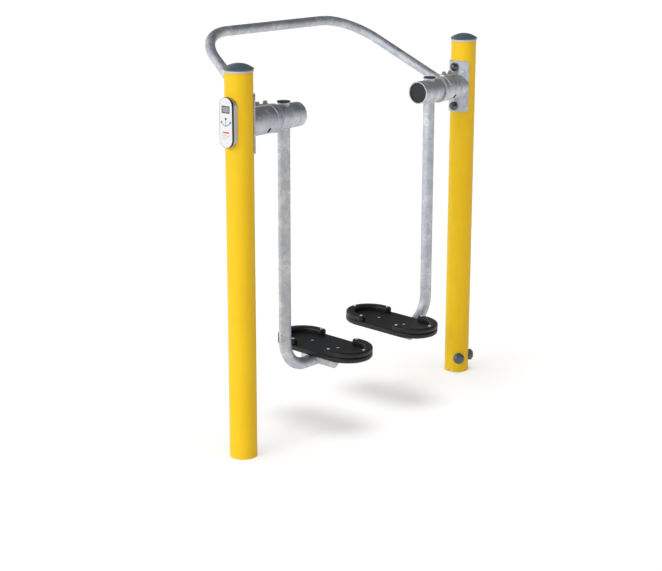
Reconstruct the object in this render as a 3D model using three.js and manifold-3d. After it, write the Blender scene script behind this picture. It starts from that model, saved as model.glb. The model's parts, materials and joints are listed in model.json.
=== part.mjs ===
// Outdoor air walker. Two posts stand in the ground and carry a pivot unit each. From each pivot
// hangs a leg with a footplate, and the two legs swing on their own, one for each foot of the user.
// A bent handlebar joins the two pivot units in front of the user.
// Millimetres, +Z up. X runs along the line of the posts, +Y points the way the user faces.
// The origin lies on the ground, midway between the posts.
import * as THREE from 'three';
import { mergeVertices } from 'three/addons/utils/BufferGeometryUtils.js';
import Module from 'manifold-3d';

const wasm = await Module();
wasm.setup();

// Driving dimensions of the whole frame
const postSpacing = 1350;
const postTopRise = 181.5;
const postRadius = 50.8;
const pivotHeight = 1228.5;
const armDrop = 954.5;
const armRadius = 23;
const footReach = 231;
const barRise = 264.5;
const barReach = 431;

// Clearances that every fit shares
const seatGap = 0.3;
const runningGap = 5;
const overrun = 2;

// Facets round a full circle, by how large the piece is
const largeSides = 32;
const mediumSides = 20;
const smallSides = 10;
const hexSides = 6;

// Post, its top trim and its anchor in the ground
const postWall = 4;
const ringRadius = 52.4;
const ringHeight = 7.3;
const ringWall = 8;
const capRadius = 55;
const capTaperHeight = 4.2;
const capRimHeight = 0.8;
const capDomeHeight = 19.2;
const capPlugDepth = 28;
const capDomeSteps = 5;
const notchWidth = 13;
const notchHeight = 8;
const notchAngle = THREE.MathUtils.degToRad(3);
const anchorFit = 0.6;
const anchorWall = 5;
const anchorHeight = 140;
const anchorFloor = 8;

// Bolts that lock the right post to its anchor, under plastic covers
const anchorBoltHeight = 63.5;
const anchorBoltAngles = { outer: THREE.MathUtils.degToRad(-135), inner: THREE.MathUtils.degToRad(-45) };
const anchorBoltRadius = 6;
const anchorBoltLength = 24;
const anchorHeadRadius = 11;
const anchorHeadHeight = 7.5;
const coverRadius = 23.5;
const coverTopRadius = 13.5;
const coverHeight = 20;
const coverChamfer = 8.5;
const coverWall = 4;

// Saddle plate that bolts the pivot unit to the post. Caps cover the right plate's bolts only.
const saddleThickness = 5.9;
const saddleHeight = 210;
const saddleHalfAngle = THREE.MathUtils.degToRad(62);
const saddleCorner = 17;
const cornerSteps = 3;
const wrapSteps = 10;
const plateBoltSetIn = 25;
const plateBoltRadius = 6;
const plateBoltLength = 26;
const plateHeadRadius = 11;
const plateHeadHeight = 7.5;
const boltCapRadius = 18.2;
const boltCapFootRadius = 15.8;
const boltCapFootRise = 5.8;
const boltCapHeight = 24;
const boltCapWall = 2.8;
const boltCapSteps = 3;

// Fixed housing of the pivot, and what locks the bearing cartridge in it
const housingLength = 95;
const housingRadius = 50.8;
const housingWall = 5;
const seamChamfer = 2;
const padWidth = 20;
const padRise = 6;
const padOverhang = 12;
const lockScrewRadius = 4;
const lockScrewSetIn = 17;
const lockScrewSpacing = 41;
const lockScrewRise = 17;
const lockHeadRadius = 7.8;
const lockHeadHeight = 5.4;
const lockNutRadius = 9.5;
const lockNutHeight = 5;
const drainLength = 22;
const drainWidth = 11.5;
const drainSetIn = 40;
const drainAngle = THREE.MathUtils.degToRad(128.5);

// Bearing cartridge with its collar, the two bearings and the stops that limit the swing
const collarLength = 30.4;
const flangeRadius = 53.5;
const flangeWidth = 7;
const flangeChamfer = 2.5;
const sleeveWall = 5.3;
const sleeveLength = 84;
const lipThickness = 4;
const lipBore = 24;
const shaftRadius = 20;
const bearingWidth = 18;
const bearingSetIn = 4;
const keyLength = 40;
const shaftKeyHeight = 11;
const shaftKeyHalfAngle = THREE.MathUtils.degToRad(12);
const stopKeyHeight = 15;
const stopKeyHalfAngle = THREE.MathUtils.degToRad(9);
const stopKeyAngle = THREE.MathUtils.degToRad(67);

// Hub that turns with the leg
const hubLength = 123.8;
const hubRadius = 45;
const hubWall = 4.5;
const armSetIn = 46.3;
const shaftFlangeThickness = 10;
const shaftFlangeSetIn = 2;
const plugThickness = 6;
const plugRecess = 4;
const plugSkirtDepth = 14;
const plugSkirtWall = 3;

// Leg tube
const armWall = 3;
const armBend = 108;
const armBendSteps = 6;
const armHold = 40;
const stubRise = 51.5;
const stubCapRadius = 24.6;
const stubCapThickness = 5;
const stubPlugDepth = 18;
const tubeSides = 18;
const tubeBoreSides = 9;

// Channel that carries the footplate on the leg tube
const channelWall = 5;
const channelHeadroom = 3.7;
const channelOutward = 78;
const channelInward = 19;
const channelDepth = 39;
const channelHeel = 146;
const channelHeelCut = 31;
const channelToe = 52;
const channelTongue = 38;

// Footplate with its two raised end rims
const toeUp = THREE.MathUtils.degToRad(2.2);
const plateLength = 416;
const plateWidth = 205;
const plateThickness = 22;
const deckThickness = 14;
const plateRound = 8;
const skirtWall = 12;
const roundSteps = 2;
const plateArcSteps = 12;
const rimHeight = 19.7;
const rimWidth = 34;
const rimTail = 33.5;
const rimRound = 7;
const rimArcSteps = 8;
const rimTipSteps = 3;
const footScrewSpacing = 129;
const footScrewRadius = 4;
const footScrewHeadRadius = 7;
const footScrewHeadHeight = 3.5;
const footScrewSunk = 1;
const footScrewTail = 7;

// Handlebar
const barRadius = 19.5;
const barWall = 2.5;
const barBend = 207;
const barBendSteps = 7;
const legLean = 139.3;
const legSetOut = 43.7;
const legFootSetback = 13;
const legRootShare = 0.05;

// Sign on the left post
const signHeight = 177;
const signWidth = 62;
const signRaise = 12.5;
const signBodyDepth = 8.8;
const signGasketDepth = 6;
const signFaceDepth = 1.4;
const signArcSteps = 10;

const postHeight = pivotHeight + postTopRise;

// Places along the pivot's axis, from the post's axis inward, in the order in which the pieces follow
const saddleOuter = postRadius + seatGap + saddleThickness;
const housingEnd = saddleOuter + housingLength;
const collarStart = housingEnd + seatGap;
const collarEnd = collarStart + collarLength;
const hubStart = collarEnd + runningGap;
const hubEnd = hubStart + hubLength;
const armX = hubStart + armSetIn;
const footX = armX + footReach;

// Radii that fit into each other in the pivot
const sleeveRadius = housingRadius - housingWall - seatGap;
const bearingSeat = sleeveRadius - sleeveWall;
const sleeveStart = collarStart - sleeveLength;
const hubBore = hubRadius - hubWall;

// Rise of the plate's top above the leg tube's lower run
const plateRise = armRadius + channelHeadroom + channelWall + seatGap + deckThickness;

const materials = {
  yellowPaint: finish(0xf2c51e, 0.35, 0),
  galvanised: finish(0xb9bdc3, 0.5, 0.85),
  machinedSteel: finish(0xa8abb0, 0.35, 0.9),
  blackPlastic: finish(0x1c1e20, 0.55, 0),
  slatePlastic: finish(0x43545f, 0.45, 0),
  greyRing: finish(0xc6c6cc, 0.5, 0),
  footRubber: finish(0x202224, 0.75, 0),
  signWhite: finish(0xe9e9ea, 0.4, 0),
};

function finish(color, roughness, metalness) {
  return new THREE.MeshStandardMaterial({ color, roughness, metalness });
}

// Turning closed geometries into solids and back

function volumeOf(position, corners) {
  const a = new THREE.Vector3();
  const b = new THREE.Vector3();
  const c = new THREE.Vector3();
  let volume = 0;
  for (let i = 0; i < corners.length; i += 3) {
    a.fromBufferAttribute(position, corners[i]);
    b.fromBufferAttribute(position, corners[i + 1]);
    c.fromBufferAttribute(position, corners[i + 2]);
    volume += a.dot(b.cross(c)) / 6;
  }
  return volume;
}

// Welds the vertices, drops triangles without area and turns the faces outward.
function solidOf(geometry) {
  const plain = geometry.clone();
  plain.deleteAttribute('normal');
  plain.deleteAttribute('uv');
  const welded = mergeVertices(plain);
  const corners = [];
  for (let i = 0; i < welded.index.count; i += 3) {
    const [a, b, c] = [0, 1, 2].map((k) => welded.index.getX(i + k));
    if (a !== b && b !== c && c !== a) corners.push(a, b, c);
  }
  if (volumeOf(welded.attributes.position, corners) < 0) corners.reverse();
  return new wasm.Manifold(new wasm.Mesh({
    numProp: 3,
    vertProperties: new Float32Array(welded.attributes.position.array),
    triVerts: new Uint32Array(corners),
  }));
}

function geometryOf(solid) {
  const mesh = solid.getMesh();
  const geometry = new THREE.BufferGeometry();
  geometry.setAttribute('position', new THREE.BufferAttribute(mesh.vertProperties, 3));
  geometry.setIndex(new THREE.BufferAttribute(mesh.triVerts, 1));
  geometry.computeVertexNormals();
  return geometry;
}

function cut(body, ...cutters) {
  const left = cutters.reduce((solid, cutter) => solid.subtract(solidOf(cutter)), solidOf(body));
  return geometryOf(left);
}

function join(body, ...others) {
  const whole = others.reduce((solid, other) => solid.add(solidOf(other)), solidOf(body));
  return geometryOf(whole);
}

function overlapOf(body, other) {
  return geometryOf(solidOf(body).intersect(solidOf(other)));
}

// Basic shapes, drawn where they are used

// A solid of revolution about Z. The profile is a list of [radius, height] points.
function turnedZ(profile, sides) {
  const points = profile.map(([radius, height]) => new THREE.Vector2(radius, height));
  return new THREE.LatheGeometry(points, sides).rotateX(Math.PI / 2);
}

// The same about X: the profile is a list of [radius, place along X] points.
function turnedX(profile, sides) {
  const points = profile.map(([radius, along]) => new THREE.Vector2(radius, along));
  return new THREE.LatheGeometry(points, sides).rotateZ(-Math.PI / 2);
}

function rodX(radius, fromX, toX, sides) {
  return turnedX([[0, fromX], [radius, fromX], [radius, toX], [0, toX]], sides);
}

function rodZ(radius, fromZ, toZ, sides) {
  return turnedZ([[0, fromZ], [radius, fromZ], [radius, toZ], [0, toZ]], sides);
}

// A pipe's profile, closed on itself.
function pipeProfile(outer, inner, from, to) {
  return [[inner, from], [outer, from], [outer, to], [inner, to], [inner, from]];
}

function block(fromX, toX, fromY, toY, fromZ, toZ) {
  const box = new THREE.BoxGeometry(toX - fromX, toY - fromY, toZ - fromZ);
  return box.translate((fromX + toX) / 2, (fromY + toY) / 2, (fromZ + toZ) / 2);
}

// Pulls a shape drawn in the YZ plane along X.
function pulledX(shape, fromX, toX, curveSegments) {
  const pulled = new THREE.ExtrudeGeometry(shape, { depth: toX - fromX, bevelEnabled: false, curveSegments });
  return pulled.rotateX(Math.PI / 2).rotateZ(Math.PI / 2).translate(fromX, 0, 0);
}

// An oblong with half-round ends, long along the second axis of its plane.
function oblong(width, length) {
  const radius = width / 2;
  const straight = length / 2 - radius;
  const shape = new THREE.Shape();
  shape.absarc(0, straight, radius, 0, Math.PI, false);
  shape.absarc(0, -straight, radius, Math.PI, Math.PI * 2, false);
  return shape;
}

// A circle's outline, for a tube's section.
function tubeSection(radius, bore) {
  const section = new THREE.Shape(circlePoints(radius, tubeSides));
  section.holes.push(new THREE.Path(circlePoints(bore, tubeBoreSides)));
  return section;
}

function circlePoints(radius, sides) {
  return Array.from({ length: sides }, (_, i) => {
    const angle = (i / sides) * Math.PI * 2;
    return new THREE.Vector2(radius * Math.cos(angle), radius * Math.sin(angle));
  });
}

// A tube's route through corner points: straight between the bends, with stations only where it bends.
class BentRoute extends THREE.Curve {
  constructor(corners, bendRadius, bendSteps) {
    super();
    this.stations = [];
    const last = corners.length - 1;
    this.addStation(corners[0], corners[1].clone().sub(corners[0]));
    for (let i = 1; i < last; i += 1) {
      this.addBend(corners[i - 1], corners[i], corners[i + 1], bendRadius, bendSteps);
    }
    this.addStation(corners[last], corners[last].clone().sub(corners[last - 1]));
  }

  addStation(point, direction) {
    this.stations.push({ point: point.clone(), tangent: direction.clone().normalize() });
  }

  addBend(before, corner, after, radius, steps) {
    const arriving = corner.clone().sub(before).normalize();
    const leaving = after.clone().sub(corner).normalize();
    const turn = arriving.angleTo(leaving);
    const start = corner.clone().addScaledVector(arriving, -radius * Math.tan(turn / 2));
    const side = leaving.clone().addScaledVector(arriving, -leaving.dot(arriving)).normalize();
    const centre = start.clone().addScaledVector(side, radius);
    for (let step = 0; step <= steps; step += 1) {
      const angle = (step / steps) * turn;
      const tangent = arriving.clone().multiplyScalar(Math.cos(angle));
      tangent.addScaledVector(side, Math.sin(angle));
      const point = centre.clone().addScaledVector(arriving, radius * Math.sin(angle));
      point.addScaledVector(side, -radius * Math.cos(angle));
      this.addStation(point, tangent);
    }
  }

  stationAt(share) {
    return this.stations[Math.round(share * (this.stations.length - 1))];
  }

  getPointAt(share) {
    return this.stationAt(share).point.clone();
  }

  getTangentAt(share) {
    return this.stationAt(share).tangent.clone();
  }
}

// A faceted bore is narrower across its flats than across its corners.
function flatRadius(radius, sides) {
  return radius * Math.cos(Math.PI / sides);
}

function bentTube(route, radius, wall) {
  const section = tubeSection(radius, radius - wall);
  return new THREE.ExtrudeGeometry(section, { steps: route.stations.length - 1, extrudePath: route });
}

// Post and its trim, upright on the post's own axis

function post(drillings) {
  const tube = turnedZ(pipeProfile(postRadius, postRadius - postWall, 0, postHeight), largeSides);
  const halfNotch = notchWidth / 2;
  const notch = block(postRadius - postWall - overrun, postRadius + overrun, -halfNotch, halfNotch,
    -overrun, notchHeight).rotateZ(notchAngle);
  return cut(tube, notch, ...plateBoltHoles(), ...drillings);
}

function postRing() {
  const bottom = postHeight + seatGap;
  return turnedZ(pipeProfile(ringRadius, ringRadius - ringWall, bottom, bottom + ringHeight), largeSides);
}

// The profile of a low dome, part of a sphere, from its rim up to its top on the axis.
function domeProfile(radius, rimHeight, rise, steps) {
  const sphereRadius = (radius * radius + rise * rise) / (2 * rise);
  const spread = Math.asin(radius / sphereRadius);
  return Array.from({ length: steps + 1 }, (_, step) => {
    const angle = spread * (1 - step / steps);
    const drop = sphereRadius * (1 - Math.cos(angle));
    return [sphereRadius * Math.sin(angle), rimHeight + rise - drop];
  });
}

function postCap() {
  const rimBottom = postHeight + seatGap + ringHeight + seatGap;
  const plugRadius = Math.min(postRadius - postWall, ringRadius - ringWall) - seatGap;
  const plugEnd = rimBottom - capPlugDepth;
  const profile = [[0, plugEnd], [plugRadius, plugEnd], [plugRadius, rimBottom]];
  const edge = rimBottom + capTaperHeight;
  profile.push([ringRadius, rimBottom], [capRadius, edge]);
  profile.push(...domeProfile(capRadius, edge + capRimHeight, capDomeHeight, capDomeSteps));
  return turnedZ(profile, largeSides);
}

function groundAnchor(drillings) {
  const radius = postRadius - postWall - anchorFit;
  const bore = radius - anchorWall;
  const outside = [[0, 0], [radius, 0], [radius, anchorHeight]];
  const inside = [[bore, anchorHeight], [bore, anchorFloor], [0, anchorFloor]];
  return cut(turnedZ([...outside, ...inside], largeSides), ...drillings);
}

function anchorBoltHole(angle) {
  const radius = anchorBoltRadius + seatGap;
  const hole = rodX(radius, postRadius - anchorBoltLength - overrun, postRadius + overrun, smallSides);
  return hole.rotateZ(angle).translate(0, 0, anchorBoltHeight);
}

function anchorBolt(angle) {
  const seat = postRadius + seatGap;
  const shank = rodX(anchorBoltRadius, seat - anchorBoltLength, seat + anchorHeadHeight / 2, smallSides);
  const head = rodX(anchorHeadRadius, seat, seat + anchorHeadHeight, hexSides);
  return join(shank, head).rotateZ(angle).translate(0, 0, anchorBoltHeight);
}

function anchorCover(angle) {
  const top = postRadius + coverHeight;
  const profile = [[0, 0], [coverRadius, 0], [coverRadius, top - coverChamfer]];
  profile.push([coverTopRadius, top], [0, top]);
  const pocket = rodX(coverTopRadius - seatGap, 0, top - coverWall, mediumSides);
  const postShape = rodZ(postRadius + seatGap, -postRadius, postRadius, largeSides);
  const cover = cut(turnedX(profile, mediumSides), pocket, postShape);
  return cover.rotateZ(angle).translate(0, 0, anchorBoltHeight);
}

// Saddle plate, its bolts and their caps, at the pivot's height and facing inward

function boltPlaces() {
  const rise = saddleHeight / 2 - plateBoltSetIn;
  return { upper: rise, lower: -rise };
}

function plateBoltHoles() {
  const toX = saddleOuter + overrun;
  return Object.values(boltPlaces()).map((rise) => (
    rodX(plateBoltRadius + seatGap, 0, toX, smallSides).translate(0, 0, pivotHeight + rise)
  ));
}

// The plate is flat metal bent round the post, so its rounded corners are laid out on the flat and
// each point of the outline is then wrapped onto the outer face.
function saddleOutline() {
  const halfWidth = saddleOuter * saddleHalfAngle;
  const halfHeight = saddleHeight / 2;
  const shape = new THREE.Shape();
  const corners = [[1, 1, 0], [-1, 1, 1], [-1, -1, 2], [1, -1, 3]];
  const points = corners.flatMap(([across, up, quarter]) => (
    Array.from({ length: cornerSteps + 1 }, (_, step) => {
      const angle = (quarter + step / cornerSteps) * (Math.PI / 2);
      const flat = across * (halfWidth - saddleCorner) + saddleCorner * Math.cos(angle);
      const height = up * (halfHeight - saddleCorner) + saddleCorner * Math.sin(angle);
      return new THREE.Vector2(saddleOuter * Math.sin(flat / saddleOuter), height);
    })
  ));
  shape.setFromPoints(points);
  return shape;
}

function saddlePlate() {
  const inner = postRadius + seatGap;
  const halfHeight = saddleHeight / 2;
  const wrap = new THREE.Shape();
  wrap.absarc(0, 0, saddleOuter, -saddleHalfAngle, saddleHalfAngle, false);
  wrap.absarc(0, 0, inner, saddleHalfAngle, -saddleHalfAngle, true);
  const sheet = new THREE.ExtrudeGeometry(wrap, {
    depth: saddleHeight, bevelEnabled: false, curveSegments: wrapSteps,
  });
  const blank = pulledX(saddleOutline(), 0, saddleOuter + overrun, cornerSteps);
  const plate = overlapOf(sheet.translate(0, 0, -halfHeight), blank).translate(0, 0, pivotHeight);
  return cut(plate, ...plateBoltHoles());
}

function plateBolt() {
  const seat = saddleOuter + seatGap;
  const shank = rodX(plateBoltRadius, seat - plateBoltLength, seat + plateHeadHeight / 2, smallSides);
  const head = rodX(plateHeadRadius, seat, seat + plateHeadHeight, hexSides);
  return join(shank, head);
}

function boltCap() {
  const widest = saddleOuter + boltCapFootRise;
  const profile = [[0, 0], [boltCapFootRadius, 0], [boltCapFootRadius, saddleOuter]];
  for (let step = 0; step <= boltCapSteps; step += 1) {
    const angle = (step / boltCapSteps) * (Math.PI / 2);
    const radius = step === boltCapSteps ? 0 : boltCapRadius * Math.cos(angle);
    profile.push([radius, widest + (boltCapHeight - boltCapFootRise) * Math.sin(angle)]);
  }
  const pocketTop = saddleOuter + plateHeadHeight + seatGap * 2;
  const pocket = rodX(boltCapFootRadius - boltCapWall, 0, pocketTop, smallSides);
  const reach = boltCapRadius + overrun;
  const plateShape = rodZ(saddleOuter + seatGap, -reach, reach, largeSides);
  const dome = overlapOf(turnedX(profile, mediumSides), capReach());
  return cut(dome, plateShape, pocket);
}

// Only the half of the cap that lies outside the plate is kept.
function capReach() {
  const radius = boltCapRadius;
  return block(0, saddleOuter + boltCapHeight + overrun, -radius, radius, -radius, radius);
}

// Fixed housing of the pivot, along X about the pivot's axis

function lockScrewPlaces() {
  const first = housingEnd - lockScrewSetIn;
  return { inner: first, outer: first - lockScrewSpacing };
}

function housing() {
  const bore = housingRadius - housingWall;
  const tube = turnedX([
    [bore, 0],
    [housingRadius, 0],
    [housingRadius, housingEnd - seamChamfer],
    [housingRadius - seamChamfer, housingEnd],
    [bore, housingEnd],
    [bore, 0],
  ], largeSides);
  const padTop = housingRadius + padRise;
  const plateShape = rodZ(saddleOuter + seatGap, -housingRadius - overrun, padTop + overrun, largeSides);
  const screwHoles = Object.values(lockScrewPlaces()).map((x) => (
    rodZ(lockScrewRadius + seatGap, bore - overrun, padTop + overrun, smallSides).translate(x, 0, 0)
  ));
  return cut(join(tube, lockPad()), plateShape, ...screwHoles, drainSlot());
}

// A flat pad along the housing's top, on which the lock screws' nuts sit.
function lockPad() {
  const toX = lockScrewPlaces().inner + padOverhang;
  return block(0, toX, -padWidth / 2, padWidth / 2, housingRadius - housingWall / 2, housingRadius + padRise);
}

function drainSlot() {
  const from = housingRadius - housingWall - overrun;
  const slot = new THREE.ExtrudeGeometry(oblong(drainWidth, drainLength), {
    depth: housingWall + overrun * 2, bevelEnabled: false, curveSegments: cornerSteps,
  });
  return slot.translate(housingEnd - drainSetIn, 0, from).rotateX(drainAngle);
}

function lockScrew() {
  const top = housingRadius + lockScrewRise;
  const nutSeat = housingRadius + padRise + seatGap;
  const headBottom = top - lockHeadHeight;
  const shank = rodZ(lockScrewRadius, sleeveRadius + seatGap, headBottom + seatGap, smallSides);
  const nut = rodZ(lockNutRadius, nutSeat, nutSeat + lockNutHeight, hexSides);
  const head = rodZ(lockHeadRadius, headBottom, top, hexSides);
  return join(shank, nut, head);
}

// Bearing cartridge: a sleeve locked in the housing, with a flanged collar against the housing's end

function cartridge() {
  const lipInner = collarEnd - lipThickness;
  const flangeStart = collarEnd - flangeWidth;
  const body = turnedX([
    [sleeveRadius, sleeveStart],
    [sleeveRadius, collarStart],
    [housingRadius - seamChamfer, collarStart],
    [housingRadius, collarStart + seamChamfer],
    [housingRadius, flangeStart],
    [flangeRadius, flangeStart],
    [flangeRadius, collarEnd - flangeChamfer],
    [flangeRadius - flangeChamfer, collarEnd],
    [lipBore, collarEnd],
    [lipBore, lipInner],
    [bearingSeat, lipInner],
    [bearingSeat, sleeveStart],
    [sleeveRadius, sleeveStart],
  ], largeSides);
  const inner = bearingSeat - stopKeyHeight;
  const outer = bearingSeat + sleeveWall / 2;
  const stops = [-stopKeyAngle, stopKeyAngle].map((angle) => (
    keyBar(inner, outer, stopKeyHalfAngle).rotateX(angle)
  ));
  return join(body, ...stops);
}

// A bar with a ring sector's section that points up, midway between the two bearings.
function keyBar(inner, outer, halfAngle) {
  const up = Math.PI / 2;
  const shape = new THREE.Shape();
  shape.absarc(0, 0, outer, up - halfAngle, up + halfAngle, false);
  shape.absarc(0, 0, inner, up + halfAngle, up - halfAngle, true);
  const bearings = bearingPlaces();
  const middle = (bearings.outer + bearingWidth + bearings.inner) / 2;
  return pulledX(shape, middle - keyLength / 2, middle + keyLength / 2, cornerSteps);
}

function bearingPlaces() {
  return {
    inner: collarEnd - lipThickness - seatGap - bearingWidth,
    outer: sleeveStart + bearingSetIn,
  };
}

function bearing() {
  return turnedX(pipeProfile(bearingSeat - seatGap, shaftRadius + seatGap, 0, bearingWidth), mediumSides);
}

// Turning pieces of the pivot, about the pivot's axis

function shaft() {
  const flangeStart = hubStart + shaftFlangeSetIn;
  const flangeEnd = flangeStart + shaftFlangeThickness;
  const body = turnedX([
    [0, sleeveStart], [shaftRadius, sleeveStart], [shaftRadius, flangeStart],
    [hubBore - seatGap, flangeStart], [hubBore - seatGap, flangeEnd], [0, flangeEnd],
  ], largeSides);
  const keyRoot = shaftRadius / 2;
  return join(body, keyBar(keyRoot, shaftRadius + shaftKeyHeight, shaftKeyHalfAngle));
}

function hub() {
  const tube = turnedX(pipeProfile(hubRadius, hubBore, hubStart, hubEnd), largeSides);
  const reach = hubRadius + overrun;
  const armHole = rodZ(armRadius + seatGap, -reach, reach, largeSides).translate(armX, 0, 0);
  return cut(tube, armHole);
}

function endPlug() {
  const face = hubEnd - plugRecess;
  const radius = hubBore - seatGap;
  const inner = radius - plugSkirtWall;
  const back = face - plugThickness;
  const skirtEnd = back - plugSkirtDepth;
  const outside = [[0, face], [radius, face], [radius, skirtEnd]];
  const inside = [[inner, skirtEnd], [inner, back], [0, back]];
  return turnedX([...outside, ...inside], mediumSides);
}

// Leg: a tube that passes down through the hub and bends inward under the foot

function arm() {
  const endX = footX - channelOutward + armHold;
  const corners = [
    new THREE.Vector3(armX, 0, stubRise),
    new THREE.Vector3(armX, 0, -armDrop),
    new THREE.Vector3(endX, 0, -armDrop),
  ];
  return bentTube(new BentRoute(corners, armBend, armBendSteps), armRadius, armWall);
}

function stubCap() {
  const seat = stubRise + seatGap;
  const plugRadius = flatRadius(armRadius - armWall, tubeBoreSides) - seatGap;
  const plug = [[0, seat - stubPlugDepth], [plugRadius, seat - stubPlugDepth], [plugRadius, seat]];
  const top = seat + stubCapThickness;
  const cap = [[stubCapRadius, seat], [stubCapRadius, top], [0, top]];
  return turnedZ([...plug, ...cap], mediumSides).translate(armX, 0, 0);
}

// Foot, about the middle of the plate's top face. Its frame leans with the plate, toes up.

function channel() {
  const top = -deckThickness - seatGap;
  const bottom = top - channelDepth;
  const webBottom = top - channelWall;
  const side = new THREE.Shape();
  side.moveTo(-channelHeel, top);
  side.lineTo(-channelHeel + channelHeelCut, bottom);
  side.lineTo(channelToe, bottom);
  side.lineTo(channelToe, webBottom);
  side.lineTo(channelToe + channelTongue, webBottom);
  side.lineTo(channelToe + channelTongue, top);
  side.closePath();
  const blank = pulledX(side, -channelOutward, channelInward, cornerSteps);
  const outerWall = channelWall - channelOutward;
  const inside = block(outerWall, channelInward - channelWall, -channelHeel - overrun,
    channelToe + overrun, bottom - overrun, webBottom);
  const tubeHole = rodX(armRadius + seatGap, -channelOutward - overrun, outerWall + overrun, largeSides);
  tubeHole.translate(0, 0, -plateRise).rotateX(-toeUp);
  return cut(blank, inside, tubeHole, ...footScrewHoles(footScrewRadius + seatGap, bottom, overrun));
}

function footScrewPlaces() {
  return { front: footScrewSpacing / 2, rear: -footScrewSpacing / 2 };
}

function footScrewHoles(radius, fromZ, toZ) {
  return Object.values(footScrewPlaces()).map((y) => (
    rodZ(radius, fromZ, toZ, smallSides).translate(0, y, 0)
  ));
}

function footplate() {
  const slab = roundedSlab(oblong(plateWidth, plateLength), plateThickness, plateRound, plateArcSteps);
  const pocketWidth = plateWidth - skirtWall * 2;
  const pocketLength = plateLength - skirtWall * 2;
  const pocket = new THREE.ExtrudeGeometry(oblong(pocketWidth, pocketLength), {
    depth: plateThickness - deckThickness + overrun, bevelEnabled: false, curveSegments: plateArcSteps,
  });
  pocket.translate(0, 0, -plateThickness - overrun);
  const sink = footScrewHeadHeight + footScrewSunk + seatGap;
  const screwHoles = footScrewHoles(footScrewRadius + seatGap, -plateThickness, overrun);
  const headHoles = footScrewHoles(footScrewHeadRadius + seatGap, -sink, overrun);
  return cut(slab.translate(0, 0, -plateThickness), pocket, ...screwHoles, ...headHoles);
}

// A flat slab from Z 0 up to its thickness, with its top and bottom edges rounded inside the outline.
function roundedSlab(shape, thickness, round, curveSegments) {
  return new THREE.ExtrudeGeometry(shape, {
    depth: thickness - round * 2,
    bevelThickness: round,
    bevelSize: round,
    bevelOffset: -round,
    bevelSegments: roundSteps,
    curveSegments,
  }).translate(0, 0, round);
}

// The raised rim at the toe end: half round, with a short straight tail on each side.
function rim() {
  const outer = plateWidth / 2;
  const inner = outer - rimWidth;
  const middle = outer - rimWidth / 2;
  const bend = plateLength / 2 - outer;
  const tailEnd = bend - rimTail + rimWidth / 2;
  const shape = new THREE.Shape();
  shape.absarc(0, bend, outer, 0, Math.PI, false);
  addTip(shape, -middle, tailEnd);
  shape.absarc(0, bend, inner, Math.PI, 0, true);
  addTip(shape, middle, tailEnd);
  const slab = roundedSlab(shape, rimHeight, rimRound, rimArcSteps);
  return slab.translate(0, 0, seatGap);
}

// A half-round tip that turns from the rim's one edge to the other. Its points are chosen by hand,
// because the large arcs need finer steps.
function addTip(shape, x, y) {
  for (let step = 0; step <= rimTipSteps; step += 1) {
    const angle = Math.PI + (step / rimTipSteps) * Math.PI;
    shape.lineTo(x + (rimWidth / 2) * Math.cos(angle), y + (rimWidth / 2) * Math.sin(angle));
  }
}

function footScrew() {
  const headTop = -footScrewSunk;
  const headBottom = headTop - footScrewHeadHeight;
  const end = -deckThickness - seatGap - channelWall - footScrewTail;
  const head = [[footScrewHeadRadius, headBottom], [footScrewHeadRadius, headTop], [0, headTop]];
  return turnedZ([[0, end], [footScrewRadius, end], [footScrewRadius, headBottom], ...head], smallSides);
}

// Handlebar: both legs stand on the housings and lean inward and forward to the grip bar

function handlebar() {
  const rootX = postSpacing / 2 - saddleOuter - legSetOut;
  const cornerX = rootX - legLean;
  const lineStart = new THREE.Vector3(rootX, -legFootSetback, 0);
  const corner = new THREE.Vector3(cornerX, barReach, barRise);
  const start = lineStart.lerp(corner, legRootShare);
  const flip = new THREE.Vector3(-1, 1, 1);
  const corners = [start, corner, corner.clone().multiply(flip), start.clone().multiply(flip)];
  const tube = bentTube(new BentRoute(corners, barBend, barBendSteps), barRadius, barWall);
  const inner = postSpacing / 2 - housingEnd - overrun;
  const outer = postSpacing / 2;
  const housings = [rodX(housingRadius + seatGap, -outer, -inner, largeSides),
    rodX(housingRadius + seatGap, inner, outer, largeSides)];
  return cut(tube, ...housings);
}

// Sign on the left post's outer side: a cast body that fits the post, a gasket and a face

function signSlab(nearX, farX) {
  return pulledX(oblong(signWidth, signHeight), -farX, -nearX, signArcSteps);
}

function signBody() {
  const face = postRadius + seatGap + signBodyDepth;
  const halfHeight = signHeight / 2 + overrun;
  const postShape = rodZ(postRadius + seatGap, -halfHeight, halfHeight, largeSides);
  return cut(signSlab(0, face), postShape);
}

// Putting the pieces together

const airWalker = new THREE.Group();

function addPiece(group, name, geometry, material, place = [0, 0, 0]) {
  const mesh = new THREE.Mesh(geometryOf(solidOf(geometry)), material);
  mesh.name = name;
  mesh.position.set(...place);
  group.add(mesh);
}

// Every side is drawn as the left one, with inward along +X. The right side mirrors each piece.
function sideTools(name, sign) {
  const add = (group, label, geometry, material, [x, y, z] = [0, 0, 0]) => {
    const shape = geometry.clone().scale(sign, 1, 1);
    addPiece(group, `${name}_${label}`, shape, material, [sign * x, y, z]);
  };
  return { name, sign, add };
}

function addPost(side, group) {
  const drillings = side.name === 'right' ? Object.values(anchorBoltAngles).map(anchorBoltHole) : [];
  side.add(group, 'post', post(drillings), materials.yellowPaint);
  side.add(group, 'post_ring', postRing(), materials.greyRing);
  side.add(group, 'post_cap', postCap(), materials.slatePlastic);
  side.add(group, 'ground_anchor', groundAnchor(drillings), materials.galvanised);
}

function addAnchorBolts(side, group) {
  for (const [place, angle] of Object.entries(anchorBoltAngles)) {
    side.add(group, `anchor_bolt_${place}`, anchorBolt(angle), materials.machinedSteel);
    side.add(group, `anchor_cover_${place}`, anchorCover(angle), materials.slatePlastic);
  }
}

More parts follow.
